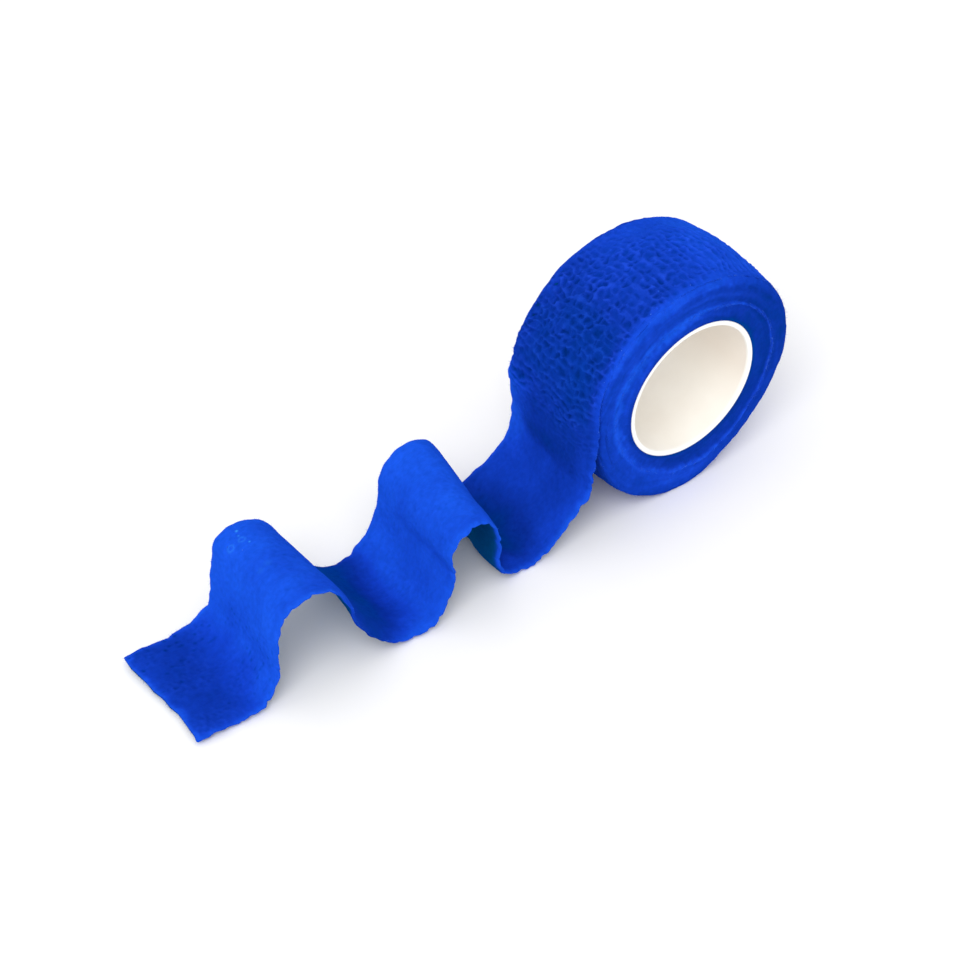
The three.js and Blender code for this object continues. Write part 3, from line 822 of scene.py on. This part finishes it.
# painted shade on the strip's inner face away from its edges, darkened and tinted teal in the material; once the strip
# has left the roll, that face is painted lighter away from its near edge
underside_shadow = (side_all < -0.5) * smooth(0.35, 1.2, np.minimum(v_all, 1 - v_all) * STRIP_WIDTH)
painted_shadow_tint = np.broadcast_to(underside_shadow[None], (ROWS, COLUMNS))
tone_and_painted_shading = mix(tone_and_painted_shading, 0.52 + 0.45 * smooth(0.08, 0.42, V_ALL), (side_all < -0.5)[None] * smooth(ROW["leaves"], ROW["hang_2"], row_all)[:, None] * smooth(0.35, 1.2, from_edge))
cloth_place = np.stack(
    [
        np.broadcast_to(row_s[:, None], (ROWS, COLUMNS)),
        np.broadcast_to((v_all * STRIP_WIDTH)[None], (ROWS, COLUMNS)),
        np.broadcast_to((side_all * 2.0)[None], (ROWS, COLUMNS)),
    ],
    axis=-1,
)
strip = add_mesh(
    "bandage_strip",
    strip_points,
    strip_quads,
    caps,
    {
        "relief": extend(relief_shading).ravel(),
        "tone_and_painted_shading": extend(tone_and_painted_shading).ravel(),
        "painted_shadow_tint": extend(painted_shadow_tint).ravel(),
        "cloth_place": extend(cloth_place).reshape(-1, 3),
    },
)

# ============================================================================
# The wound turns under the outermost one, with their two faces
# ============================================================================
body_deg = -180 + 360 * (np.arange(BODY_STEPS) + 0.5) / BODY_STEPS
low = sunk(body_deg)
body_profile = roll_profile(body_deg, low)
edge_near = look_up(EDGES, "deg", "near", body_deg)
edge_far = look_up(EDGES, "deg", "far", body_deg)
length_near = -body_profile[2][:, 0]
length_far = body_profile[2][:, -1]
SHOULDER_IN = 1.6  # the fine part starts this far under the strip's margin
n_face = int((length_near.mean() - edge_near.mean() + SHOULDER_IN) / BODY_STEP)
side_near = np.linspace(0, 1, n_face)
start_near = edge_near - SHOULDER_IN
where_near = -(start_near[:, None] + (length_near - start_near)[:, None] * side_near[None])
start_far = edge_far - SHOULDER_IN
where_far = start_far[:, None] + (length_far - start_far)[:, None] * side_near[None]
where_mid = mix(-start_near[:, None], start_far[:, None], np.linspace(0, 1, 12)[None, 1:-1])
where = np.concatenate([where_near[:, ::-1], where_mid, where_far], axis=1)
p = on_profile(body_profile, where)
DEG = np.broadcast_to(body_deg[:, None], where.shape)
R, Yp = p[..., 0], p[..., 1]
nr, ny = p[..., 2], p[..., 3]
cx, cz = np.cos(np.radians(DEG)), np.sin(np.radians(DEG))
far_side = (where > 0).astype(float)
# under the strip the body lies one layer lower
under_near = smooth(0.0, 0.5, where + edge_near[:, None])
under_far = smooth(0.0, 0.5, edge_far[:, None] - where)
under = np.minimum(under_near, under_far)
from_strip_edge = np.minimum(where + edge_near[:, None], edge_far[:, None] - where)
depth = under * (mix(0.16, 0.92, smooth(0.1, 3.2, from_strip_edge)) + 0.06)
# faces: rings of wound edges that wander a little, a raised line, and soft dents
outside = 1 - under
turn = R + 0.35 * noise(2.2 * cx, 2.2 * cz, far_side * 9, 71) + 0.20 * noise(6 * cx, 6 * cz, R / 3 + far_side * 9, 72)
layers = noise(turn / 0.52, 0.9 * cx + 3 * far_side, 0.9 * cz, 73, 2)
layers_fine = noise(turn / 0.26, 2.5 * cx + 3 * far_side, 2.5 * cz, 74)
dents = noise(R * cx / 2.4, R * cz / 2.4, where / 3.0, 75, 3)
grain = noise(R * cx / 0.7, R * cz / 0.7, where / 0.7, 76, 2)
ring_r = look_up(RING, "deg", "r", DEG) + 0.16 * noise(5 * cx, 5 * cz, far_side * 5, 77) + far_side * 0.4
ring_lift = look_up(RING, "deg", "lift", DEG)
within, beyond = look_up(FACE_SHADING, "deg", "within", DEG), look_up(FACE_SHADING, "deg", "beyond", DEG)
from_ring = R - ring_r + 0.10 * noise(R * cx / 0.8, R * cz / 0.8, far_side * 5, 68, 2)
ring_wide = np.where(from_ring < 0, within, beyond)
broken = np.clip(0.75 + 0.6 * noise(9 * cx, 9 * cz, far_side * 5, 78), 0.2, 1.2)
ragged = ring_wide * (1 + 0.35 * noise(R * cx / 1.1, R * cz / 1.1, far_side * 5, 70, 2))
ring_line = np.exp(-((from_ring / 0.20) ** 2)) * ring_lift * broken * outside
ring_soft = np.exp(-(np.abs(from_ring / np.maximum(ragged, 0.15)) ** 2.6)) * outside
calm = smooth(CORE_OUTER + 0.1, CORE_OUTER + 1.0, R)
face_height = outside * calm * (0.055 * layers + 0.03 * layers_fine + 0.10 * dents + 0.02 * grain) + 0.14 * ring_line + 0.24 * ring_lift * ring_soft * np.minimum(ring_wide / 0.5, 1)
upper_left = (0.5 + 0.5 * np.cos(np.radians(DEG - 140))) ** 1.5 * (1 - far_side)
face_height = face_height + outside * 0.40 * upper_left * np.exp(-(((R - CORE_OUTER) / 1.5) ** 2))
offset = face_height - depth
r2, y2 = R + nr * offset, Yp + ny * offset
body_points = np.stack([r2 * cx, y2, AXIS_Z + r2 * cz], axis=-1)
body_points[..., 2] = np.maximum(body_points[..., 2], 0.02)
# the bore closes the ring
bore = []
for y_at in (0.5, 0.0, -0.5):
    bore.append(
        np.stack(
            [
                (CORE_OUTER + 0.02) * np.cos(np.radians(body_deg)),
                np.full(BODY_STEPS, y_at * STRIP_WIDTH * 0.7),
                AXIS_Z + (CORE_OUTER + 0.02) * np.sin(np.radians(body_deg)),
            ],
            axis=-1,
        )
    )
body_grid = np.concatenate([body_points, np.stack(bore, axis=1)], axis=1)
columns = body_grid.shape[1]
body_flat = body_grid.reshape(-1, 3)
body_quads = ring_faces(BODY_STEPS, columns, True)
if not outward(body_flat, body_quads):
    body_quads = body_quads[:, ::-1]


def with_bore(a, value):
    return np.concatenate([a, np.full((BODY_STEPS, 3), value)], axis=1)


streak = noise(turn / 0.8, 1.3 * cx + 3 * far_side, 1.3 * cz, 79, 2)
# painted light: where the face stands up, most of all on the raised ring, it is coloured lighter; streaks add uneven
# tone
body_relief_shading = np.clip(0.42 + 0.05 * layers + 0.07 * streak + 0.07 * dents + 0.20 * ring_line, 0, 1)
# the near face's painted light and shade, from the table above
inner_shading, ring_shading, level_shading, shoulder_shading = (
    look_up(FACE_SHADING, "deg", c, DEG) for c in ("inner", "ring", "level", "shoulder")
)
blotch = noise(R * cx / 1.6, R * cz / 1.6, where / 2.0, 69, 2)
to_level = smooth(-0.6, 0.6, R - ring_r)
to_shoulder = smooth(21.3, 22.4, R + 0.5 * blotch)
body_painted_shading = mix(mix(inner_shading, level_shading, to_level), shoulder_shading, to_shoulder)
body_painted_shading = mix(body_painted_shading, ring_shading, np.clip(ring_soft * (1 + 0.25 * blotch), 0, 1))
fine_streak = noise(turn / 0.34, 2.6 * cx + 3 * far_side, 2.6 * cz, 67, 2)
# painted shade darkens the face next to the core; blotches and streaks add uneven tone
body_painted_shading = body_painted_shading - 0.26 * (1 - smooth(0.15, 1.1, R - CORE_OUTER)) + 0.06 * blotch + 0.05 * streak + 0.03 * fine_streak
# the shadowed cleft between the roll and the strip that leaves it
cleft = smooth(21.2, 22.2, R + 0.3 * blotch) * (smooth(171, 177, DEG) + 1 - smooth(-171, -160, DEG)) * (1 - far_side)
body_painted_shading = mix(body_painted_shading, 0.0, 0.9 * np.clip(cleft, 0, 1))
body_painted_shading = np.clip(mix(body_painted_shading, 0.40 + 0.05 * blotch, far_side * 0.5), 0, 1)
body_place = np.stack([DEG * turn_mm_per_deg, where, 0 * where], axis=-1)
body = add_mesh(
    "wound_body",
    body_flat,
    body_quads,
    (),
    {
        "relief": with_bore(body_relief_shading, 0.3).ravel(),
        "tone_and_painted_shading": with_bore(body_painted_shading, 0.0).ravel(),
        # painted shadow in the cleft, tinted teal in the material
        "painted_shadow_tint": with_bore(0.7 * np.clip(cleft, 0, 1), 0.0).ravel(),
        "cloth_place": np.concatenate([body_place, np.zeros((BODY_STEPS, 3, 3))], axis=1).reshape(-1, 3),
    },
)

# ============================================================================
# The core tube: a moulded plastic ring with rounded lips
# ============================================================================
CORE_SEGMENTS = 288
LIP = 0.32
inner_r = CORE_OUTER - CORE_WALL
outline = []
for corner_r, corner_y, start in (
    (inner_r + LIP, -CORE_LENGTH / 2 + LIP, 180),
    (CORE_OUTER - LIP, -CORE_LENGTH / 2 + LIP, 270),
    (CORE_OUTER - LIP, CORE_LENGTH / 2 - LIP, 0),
    (inner_r + LIP, CORE_LENGTH / 2 - LIP, 90),
):
    for k in range(9):
        a = math.radians(start + 90 * k / 8)
        outline.append((corner_r + LIP * math.cos(a), corner_y + LIP * math.sin(a)))
    if start in (270, 90):  # the long walls
        y0 = outline[-1][1]
        rr = outline[-1][0]
        for t in np.linspace(0, 1, 14)[1:-1]:
            outline.append((rr, mix(y0, -y0, t)))
outline = np.array(outline)
core_a = np.radians(360 * np.arange(CORE_SEGMENTS) / CORE_SEGMENTS)
wobble = 1 + 0.0025 * np.sin(2 * core_a + 0.6)
core_r = outline[None, :, 0] * wobble[:, None]
core_grid = np.stack(
    [
        core_r * np.cos(core_a)[:, None],
        np.broadcast_to(outline[None, :, 1], core_r.shape),
        AXIS_Z + core_r * np.sin(core_a)[:, None],
    ],
    axis=-1,
)
core_quads = ring_faces(CORE_SEGMENTS, len(outline), True)
core_flat = core_grid.reshape(-1, 3)
if not outward(core_flat, core_quads):
    core_quads = core_quads[:, ::-1]
core = add_mesh("core_tube", core_flat, core_quads)

# ============================================================================
# Lint: short loose fibres along the edges and a few specks on the surface
# ============================================================================
rng = np.random.default_rng(7)
surface = grid[:ROWS]


def fibre(base, direction, length, radius, sideways):
    """A thin curved three-sided fibre that tapers to a point."""
    direction = direction / np.linalg.norm(direction)
    bend = np.cross(direction, sideways)
    bend = bend / max(np.linalg.norm(bend), 1e-6)
    steps = np.linspace(0, 1, 5)
    line = base + np.outer(steps * length, direction) + np.outer(steps**2 * length * rng.uniform(-0.5, 0.5), bend)
    e1 = bend
    e2 = np.cross(direction, bend)
    pts, faces = [], []
    for k, c in enumerate(line):
        w = radius * (1 - 0.75 * steps[k])
        for a in (0, 2.0944, 4.18879):
            pts.append(c + w * (math.cos(a) * e1 + math.sin(a) * e2))
    for k in range(len(line) - 1):
        for m in range(3):
            n = (m + 1) % 3
            faces.append((3 * k + m, 3 * k + n, 3 * k + 3 + n, 3 * k + 3 + m))
    faces.append((2, 1, 0))
    faces.append(tuple(3 * (len(line) - 1) + m for m in range(3)))
    return pts, faces


lint_points, lint_faces = [], []


def add_lint(piece):
    start = len(lint_points)
    lint_points.extend(piece[0])
    lint_faces.extend(tuple(start + i for i in f) for f in piece[1])


def speck(base, out, size):
    """A tiny flattened knot of fibres."""
    out = out / np.linalg.norm(out)
    e1 = np.cross(out, [0.3, 0.8, 0.5])
    e1 = e1 / np.linalg.norm(e1)
    e2 = np.cross(out, e1)
    pts = [base + out * size * 0.5]
    n = 7
    for ringk, (h, w) in enumerate(((0.42, 0.6), (0.1, 1.0), (-0.3, 0.6))):
        for k in range(n):
            a = 2 * math.pi * k / n + 0.4 * ringk
            rr = size * w * rng.uniform(0.65, 1.15)
            pts.append(base + out * size * h + rr * (math.cos(a) * e1 + math.sin(a) * e2))
    pts.append(base - out * size * 0.4)
    faces = []
    for k in range(n):
        m = (k + 1) % n
        faces.append((0, 1 + k, 1 + m))
        for ringk in range(2):
            b = 1 + ringk * n
            faces.append((b + k, b + n + k, b + n + m, b + m))
        faces.append((1 + 2 * n + k, 1 + 3 * n, 1 + 2 * n + m))
    return pts, faces


def along_edge(count, column, rows, outward_y, spread=1.0):
    for _ in range(count):
        i = int(rng.integers(rows[0], rows[1]))
        base = surface[i, column]
        direction = np.array([rng.normal(0, 0.7), outward_y * rng.uniform(0.2, 1.2), rng.normal(0.1, 0.6)])
        add_lint(fibre(base, direction, rng.uniform(0.25, 0.8) * spread, rng.uniform(0.014, 0.026), rng.normal(0, 1, 3)))


edge_row = len(roll_deg)
along_edge(420, 0, (20, edge_row + 30), -1)
along_edge(200, OUTER - 1, (20, edge_row + 30), 1, 0.7)
along_edge(360, 0, (edge_row, ROWS - 1), -1, 0.7)
along_edge(260, OUTER - 1, (edge_row, ROWS - 1), 1, 0.7)
for _ in range(150):  # the cut end
    k = int(rng.integers(0, OUTER))
    add_lint(
        fibre(
            cap[k],
            np.array([-1.0, rng.normal(0, 0.5), rng.normal(0.1, 0.3)]),
            rng.uniform(0.2, 0.6),
            rng.uniform(0.014, 0.024),
            rng.normal(0, 1, 3),
        )
    )
near_face = np.where(where[0] < 0)[0]
for _ in range(520):  # along the raised line of the near face
    k = int(rng.integers(0, BODY_STEPS))
    if rng.random() > 0.35 + 0.65 * smooth(-60, -20, body_deg[k]) * (1 - smooth(75, 100, body_deg[k])):
        continue
    cols = near_face[np.argsort(np.abs(R[k, near_face] - ring_r[k, near_face] - rng.normal(0, 0.12)))[:1]]
    base = body_points[k, cols[0]]
    turnwise = np.array([-math.sin(math.radians(body_deg[k])), 0, math.cos(math.radians(body_deg[k]))])
    direction = turnwise * rng.choice([-1, 1]) + np.array([rng.normal(0, 0.3), -0.35, rng.normal(0, 0.3)])
    add_lint(fibre(base, direction, rng.uniform(0.4, 1.1), rng.uniform(0.02, 0.035), rng.normal(0, 1, 3)))


def nearest_on_strip(target, out_hint):
    """The strip's outer-surface point nearest to a place, and the direction out of it."""
    block = surface[:, :OUTER]
    i, j = np.unravel_index(np.argmin(((block - np.asarray(target)) ** 2).sum(-1)), block.shape[:2])
    i2, j2 = min(i + 1, ROWS - 2), min(j + 1, OUTER - 2)
    n = np.cross(surface[i2, j] - surface[i2 - 2, j], surface[i, j2 + 1] - surface[i, max(j2 - 1, 0)])
    n = n / np.linalg.norm(n)
    if n @ np.asarray(out_hint) < 0:
        n = -n
    return surface[i, j], n


# places of the specks that the photograph shows: angle on the roll or x on the
# loose end, y, and size
Speck = namedtuple("Speck", "deg y size")
for k in (
    Speck(73.6, -9.4, 0.17),
    Speck(91.5, -10.6, 0.12),
    Speck(103.8, -8.2, 0.16),
    Speck(114.3, -10.7, 0.13),
    Speck(134.0, -10.8, 0.10),
    Speck(150.0, -11.2, 0.10),
):
    base, out = nearest_on_strip(from_polar(k.deg, np.array(24.0), k.y), from_polar(k.deg, np.array(1.0), 0) - [0, 0, AXIS_Z])
    add_lint(speck(base + out * 0.03, out, k.size))
LooseSpeck = namedtuple("LooseSpeck", "x y z size")
for k in (
    LooseSpeck(-88.3, 8.2, 20.5, 0.17),
    LooseSpeck(-87.8, 7.2, 21.0, 0.12),
    LooseSpeck(-86.8, 5.0, 21.8, 0.14),
    LooseSpeck(-84.0, 9.0, 21.6, 0.10),
    LooseSpeck(-88.9, 8.9, 20.0, 0.09),
    LooseSpeck(-87.2, 8.6, 20.9, 0.09),
):
    base, out = nearest_on_strip((k.x, k.y, k.z), (0, 0, 1))
    add_lint(speck(base + out * 0.03, out, k.size))
lint_points = np.array(lint_points)
lint_points[:, 2] = np.maximum(lint_points[:, 2], 0.02)
lint = add_mesh("lint", lint_points, (), lint_faces)

# ============================================================================
# Materials
# ============================================================================


def new_material(name):
    mat = bpy.data.materials.new(name)
    mat.use_nodes = True
    tree = mat.node_tree
    tree.nodes.clear()
    out = tree.nodes.new("ShaderNodeOutputMaterial")
    bsdf = tree.nodes.new("ShaderNodeBsdfPrincipled")
    tree.links.new(bsdf.outputs["BSDF"], out.inputs["Surface"])
    return mat, tree, bsdf


def node(tree, kind, inputs=None, **settings):
    n = tree.nodes.new(kind)
    for k, v in settings.items():
        setattr(n, k, v)
    for k, v in (inputs or {}).items():
        if hasattr(v, "is_linked") or isinstance(v, bpy.types.NodeSocket):
            tree.links.new(v, n.inputs[k])
        else:
            n.inputs[k].default_value = v
    return n


def attribute(tree, name, output):
    return node(tree, "ShaderNodeAttribute", attribute_name=name, attribute_type="GEOMETRY").outputs[output]


def maths(tree, operation, a, b=None, clamp=False):
    n = node(tree, "ShaderNodeMath", operation=operation, use_clamp=clamp)
    for i, v in enumerate((a, b)):
        if v is None:
            continue
        if isinstance(v, bpy.types.NodeSocket):
            tree.links.new(v, n.inputs[i])
        else:
            n.inputs[i].default_value = v
    return n.outputs[0]


def remap(tree, value, lo, hi, to_lo, to_hi):
    return node(
        tree,
        "ShaderNodeMapRange",
        {"Value": value, "From Min": lo, "From Max": hi, "To Min": to_lo, "To Max": to_hi},
        clamp=True,
    ).outputs["Result"]


def ramp(tree, value, stops):
    n = node(tree, "ShaderNodeValToRGB", {"Fac": value})
    elements = n.color_ramp.elements
    while len(elements) > 1:
        elements.remove(elements[-1])
    elements[0].position, elements[0].color = stops[0][0], (*stops[0][1], 1)
    for at, colour in stops[1:]:
        e = elements.new(at)
        e.color = (*colour, 1)
    return n.outputs["Color"]


def mix_colour(tree, kind, factor, a, b):
    n = tree.nodes.new("ShaderNodeMix")
    n.data_type = "RGBA"
    n.blend_type = kind
    for socket, v in ((n.inputs[0], factor), (n.inputs[6], a), (n.inputs[7], b)):
        if isinstance(v, bpy.types.NodeSocket):
            tree.links.new(v, socket)
        else:
            socket.default_value = v if not isinstance(v, tuple) else (*v, 1)
    return n.outputs[2]


def object_place(tree, scale):
    coords = node(tree, "ShaderNodeTexCoord").outputs["Object"]
    return node(tree, "ShaderNodeMapping", {"Vector": coords, "Scale": scale}).outputs["Vector"]


def cloth_material(name):
    mat, tree, bsdf = new_material(name)
    relief = attribute(tree, "relief", "Fac")
    tone_and_painted_shading = attribute(tree, "tone_and_painted_shading", "Fac")
    place = attribute(tree, "cloth_place", "Vector")

    # felted cloth: clouds of thicker and thinner fibre, then single fibres
    clouds = node(tree, "ShaderNodeTexNoise", {"Vector": place, "Scale": 0.9, "Detail": 3.0, "Roughness": 0.6})
    felt = node(tree, "ShaderNodeTexNoise", {"Vector": object_place(tree, (2600, 2600, 2600)), "Scale": 1.0, "Detail": 3.0, "Roughness": 0.65})
    stretched = node(tree, "ShaderNodeMapping", {"Vector": place, "Rotation": (0, 0, 0.35), "Scale": (0.9, 7.5, 1)}).outputs["Vector"]
    strands = node(tree, "ShaderNodeTexNoise", {"Vector": stretched, "Scale": 1.0, "Detail": 2.0, "Roughness": 0.5, "Distortion": 0.6})
    stretched2 = node(tree, "ShaderNodeMapping", {"Vector": place, "Rotation": (0, 0, -0.5), "Scale": (1.1, 6.5, 1)}).outputs["Vector"]
    strands2 = node(tree, "ShaderNodeTexNoise", {"Vector": stretched2, "Scale": 1.0, "Detail": 2.0, "Roughness": 0.5, "Distortion": 0.6})

    painted_shadow_tint = attribute(tree, "painted_shadow_tint", "Fac")
    # painted light and shade as colour: deep blue where shade is painted, lighter blue where light is
    painted_shading_colour = ramp(
        tree,
        tone_and_painted_shading,
        [
            (0.0, (0.0001, 0.0420, 0.250)),
            (0.10, (0.0002, 0.0370, 0.262)),
            (0.20, (0.0018, 0.0320, 0.290)),
            (0.36, (0.0038, 0.0330, 0.350)),
            (0.7, (0.0064, 0.0520, 0.530)),
            (1.0, (0.0092, 0.0840, 0.690)),
        ],
    )
    # painted light and shade from the relief: darker in the pits, lighter on the ridges
    crinkle = ramp(
        tree,
        relief,
        [
            (0.0, (0.10, 0.66, 0.56)),
            (0.42, (1.0, 1.0, 1.0)),
            (0.65, (1.55, 1.20, 1.16)),
            (0.95, (2.6, 1.60, 1.45)),
        ],
    )
    colour = mix_colour(tree, "MULTIPLY", 1.0, painted_shading_colour, crinkle)
    # painted shade: the strip's inner face under the arches and the cleft by the roll are darkened and tinted teal
    shaded = mix_colour(tree, "MULTIPLY", 1.0, colour, (0.05, 1.30, 0.42))
    colour = mix_colour(tree, "MIX", painted_shadow_tint, colour, shaded)
    cloud_shade = remap(tree, clouds.outputs["Fac"], 0.3, 0.7, 0.90, 1.08)
    fibre_shade = remap(tree, strands.outputs["Fac"], 0.3, 0.7, 0.95, 1.05)
    shade = maths(tree, "MULTIPLY", cloud_shade, fibre_shade)
    shade_colour = node(tree, "ShaderNodeCombineColor", {"Red": shade, "Green": shade, "Blue": shade}).outputs["Color"]
    colour = mix_colour(tree, "MULTIPLY", 1.0, colour, shade_colour)
    uneven = remap(tree, strands.outputs["Fac"], 0.3, 0.7, -0.22, 0.22)
    for mark in MARKS:
        centre = (float(np.interp(mark.row, row_all, row_s)), mark.across * STRIP_WIDTH, 2.0)
        gap = node(tree, "ShaderNodeVectorMath", {0: place, 1: centre}, operation="DISTANCE").outputs["Value"]
        off_line = maths(tree, "ABSOLUTE", maths(tree, "SUBTRACT", maths(tree, "ADD", gap, uneven) if mark.r else gap, mark.r))
        colour = mix_colour(tree, "MIX", remap(tree, off_line, 0.0, mark.line, mark.light, 0.0), colour, (0.045, 0.330, 0.900))
    tree.links.new(colour, bsdf.inputs["Base Color"])

    rough = remap(tree, felt.outputs["Fac"], 0.25, 0.75, 0.80, 0.97)
    tree.links.new(rough, bsdf.inputs["Roughness"])
    bsdf.inputs["Specular IOR Level"].default_value = 0.0
    bsdf.inputs["Sheen Weight"].default_value = 0.12
    bsdf.inputs["Sheen Roughness"].default_value = 0.40
    bsdf.inputs["Sheen Tint"].default_value = (0.02, 0.22, 1.0, 1)

    fibres = maths(tree, "ADD", strands.outputs["Fac"], strands2.outputs["Fac"])
    bump_a = node(
        tree, "ShaderNodeBump", {"Height": fibres, "Strength": 0.35, "Distance": 0.00018}
    ).outputs["Normal"]
    bump_b = node(
        tree,
        "ShaderNodeBump",
        {"Height": felt.outputs["Fac"], "Strength": 0.32, "Distance": 0.00020, "Normal": bump_a},
    ).outputs["Normal"]
    tree.links.new(bump_b, bsdf.inputs["Normal"])
    return mat


def plastic_material(name):
    mat, tree, bsdf = new_material(name)
    mottle = node(tree, "ShaderNodeTexNoise", {"Vector": object_place(tree, (120, 120, 120)), "Scale": 1.0, "Detail": 3.0, "Roughness": 0.5})
    moulded = node(tree, "ShaderNodeTexNoise", {"Vector": object_place(tree, (900, 260, 900)), "Scale": 1.0, "Detail": 2.0, "Roughness": 0.5})
    colour = ramp(
        tree,
        mottle.outputs["Fac"],
        [(0.3, (0.890, 0.860, 0.800)), (0.5, (0.912, 0.888, 0.832)), (0.7, (0.930, 0.910, 0.860))],
    )
    spot = node(tree, "ShaderNodeSeparateXYZ", {"Vector": node(tree, "ShaderNodeTexCoord").outputs["Object"]}).outputs
    # the bore is painted darker and warmer towards its top as shade; the lips are kept out of that shade and given a
    # lighter, whiter colour as painted light
    lip = remap(tree, maths(tree, "ABSOLUTE", spot["Y"]), 0.0118, 0.0124, 0.0, 1.0)
    crown_shade = maths(tree, "MULTIPLY", remap(tree, spot["Z"], 0.0140, 0.0215, 0.0, 1.0), maths(tree, "SUBTRACT", 1.0, lip))
    colour = mix_colour(tree, "MIX", crown_shade, colour, (0.825, 0.765, 0.690))
    colour = mix_colour(tree, "MIX", lip, colour, (0.93, 0.935, 0.915))
    tree.links.new(colour, bsdf.inputs["Base Color"])
    tree.links.new(remap(tree, moulded.outputs["Fac"], 0.3, 0.7, 0.34, 0.50), bsdf.inputs["Roughness"])
    bsdf.inputs["IOR"].default_value = 1.49
    bump = node(tree, "ShaderNodeBump", {"Height": moulded.outputs["Fac"], "Strength": 0.12, "Distance": 0.0001}).outputs["Normal"]
    tree.links.new(bump, bsdf.inputs["Normal"])
    return mat


def lint_material(name):
    mat, tree, bsdf = new_material(name)
    shade = node(tree, "ShaderNodeTexNoise", {"Vector": object_place(tree, (700, 700, 700)), "Scale": 1.0, "Detail": 1.0})
    colour = ramp(
        tree,
        shade.outputs["Fac"],
        [(0.3, (0.010, 0.080, 0.600)), (0.55, (0.022, 0.120, 0.700)), (0.75, (0.080, 0.230, 0.800))],
    )
    tree.links.new(colour, bsdf.inputs["Base Color"])
    tree.links.new(remap(tree, shade.outputs["Fac"], 0.3, 0.7, 0.7, 0.9), bsdf.inputs["Roughness"])
    bsdf.inputs["Specular IOR Level"].default_value = 0.05
    return mat


def floor_material(name):
    mat, tree, bsdf = new_material(name)
    soft = node(tree, "ShaderNodeTexNoise", {"Vector": object_place(tree, (6, 6, 6)), "Scale": 1.0, "Detail": 2.0})
    colour = ramp(tree, soft.outputs["Fac"], [(0.3, (0.90, 0.90, 0.90)), (0.7, (0.93, 0.93, 0.93))])
    tree.links.new(colour, bsdf.inputs["Base Color"])
    bsdf.inputs["Roughness"].default_value = 0.9
    bsdf.inputs["Specular IOR Level"].default_value = 0.1
    return mat


cloth = cloth_material("bandage_cloth_blue")
strip.data.materials.append(cloth)
body.data.materials.append(cloth)
core.data.materials.append(plastic_material("core_plastic_white"))
lint.data.materials.append(lint_material("lint_pale_blue"))

# ============================================================================
# Floor, light, camera
# ============================================================================
bpy.ops.mesh.primitive_plane_add(size=6, location=(0, 0, 0))
ground = bpy.context.object
ground.name = "floor"
ground.data.materials.append(floor_material("floor_pale"))

world = bpy.data.worlds.new("studio")
bpy.context.scene.world = world
world.use_nodes = True
background = world.node_tree.nodes["Background"]
background.inputs["Color"].default_value = (1.0, 1.0, 1.0, 1)
background.inputs["Strength"].default_value = 0.95


def area_light(name, direction, distance, size, power, colour=(1, 1, 1)):
    light = bpy.data.lights.new(name, "AREA")
    light.shape = "DISK"
    light.size = size
    light.energy = power
    light.color = colour
    obj = bpy.data.objects.new(name, light)
    bpy.context.scene.collection.objects.link(obj)
    d = Vector(direction).normalized()
    aim = Vector((-0.03, 0, 0.015))
    obj.location = aim + d * distance
    obj.rotation_mode = "QUATERNION"
    obj.rotation_quaternion = (-d).to_track_quat("-Z", "Y")
    return obj


area_light("key", (-0.50, -0.38, 0.78), 1.5, 0.90, 9.0)

SIDE_DEG, ABOVE_DEG = -37.34, 43.54
DISTANCE, FOCAL_PX, FRAME_PX = 500.0, 2755.0, 960.0
a, e = math.radians(SIDE_DEG), math.radians(ABOVE_DEG)
back = Vector((math.sin(a) * math.cos(e), -math.cos(a) * math.cos(e), math.sin(e)))
right = Vector((math.cos(a), math.sin(a), 0))
up = back.cross(right)
core_front = Vector((0, -HALF, AXIS_Z))
place = (core_front - 38.53 * right - 16.50 * up + DISTANCE * back) * MM
camera_data = bpy.data.cameras.new("camera")
camera_data.sensor_fit = "HORIZONTAL"
camera_data.sensor_width = 36.0
camera_data.lens = FOCAL_PX / FRAME_PX * 36.0
camera_data.clip_start = 0.01
camera_data.clip_end = 20
camera = bpy.data.objects.new("camera", camera_data)
bpy.context.scene.collection.objects.link(camera)
camera.matrix_world = Matrix(
    (
        (right.x, up.x, back.x, place.x),
        (right.y, up.y, back.y, place.y),
        (right.z, up.z, back.z, place.z),
        (0, 0, 0, 1),
    )
)
bpy.context.scene.camera = camera
bpy.context.scene.view_settings.view_transform = "Standard"
bpy.context.scene.view_settings.look = "None"

# ============================================================================
# What each piece is
# ============================================================================
for piece in (strip, body, core, lint):
    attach(piece, "root")
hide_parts("bandage")
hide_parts("bandage")
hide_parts("core")

print("strip", ROWS, "x", COLUMNS, "flat length", round(FLAT_LENGTH, 1), "lint faces", len(lint_faces))
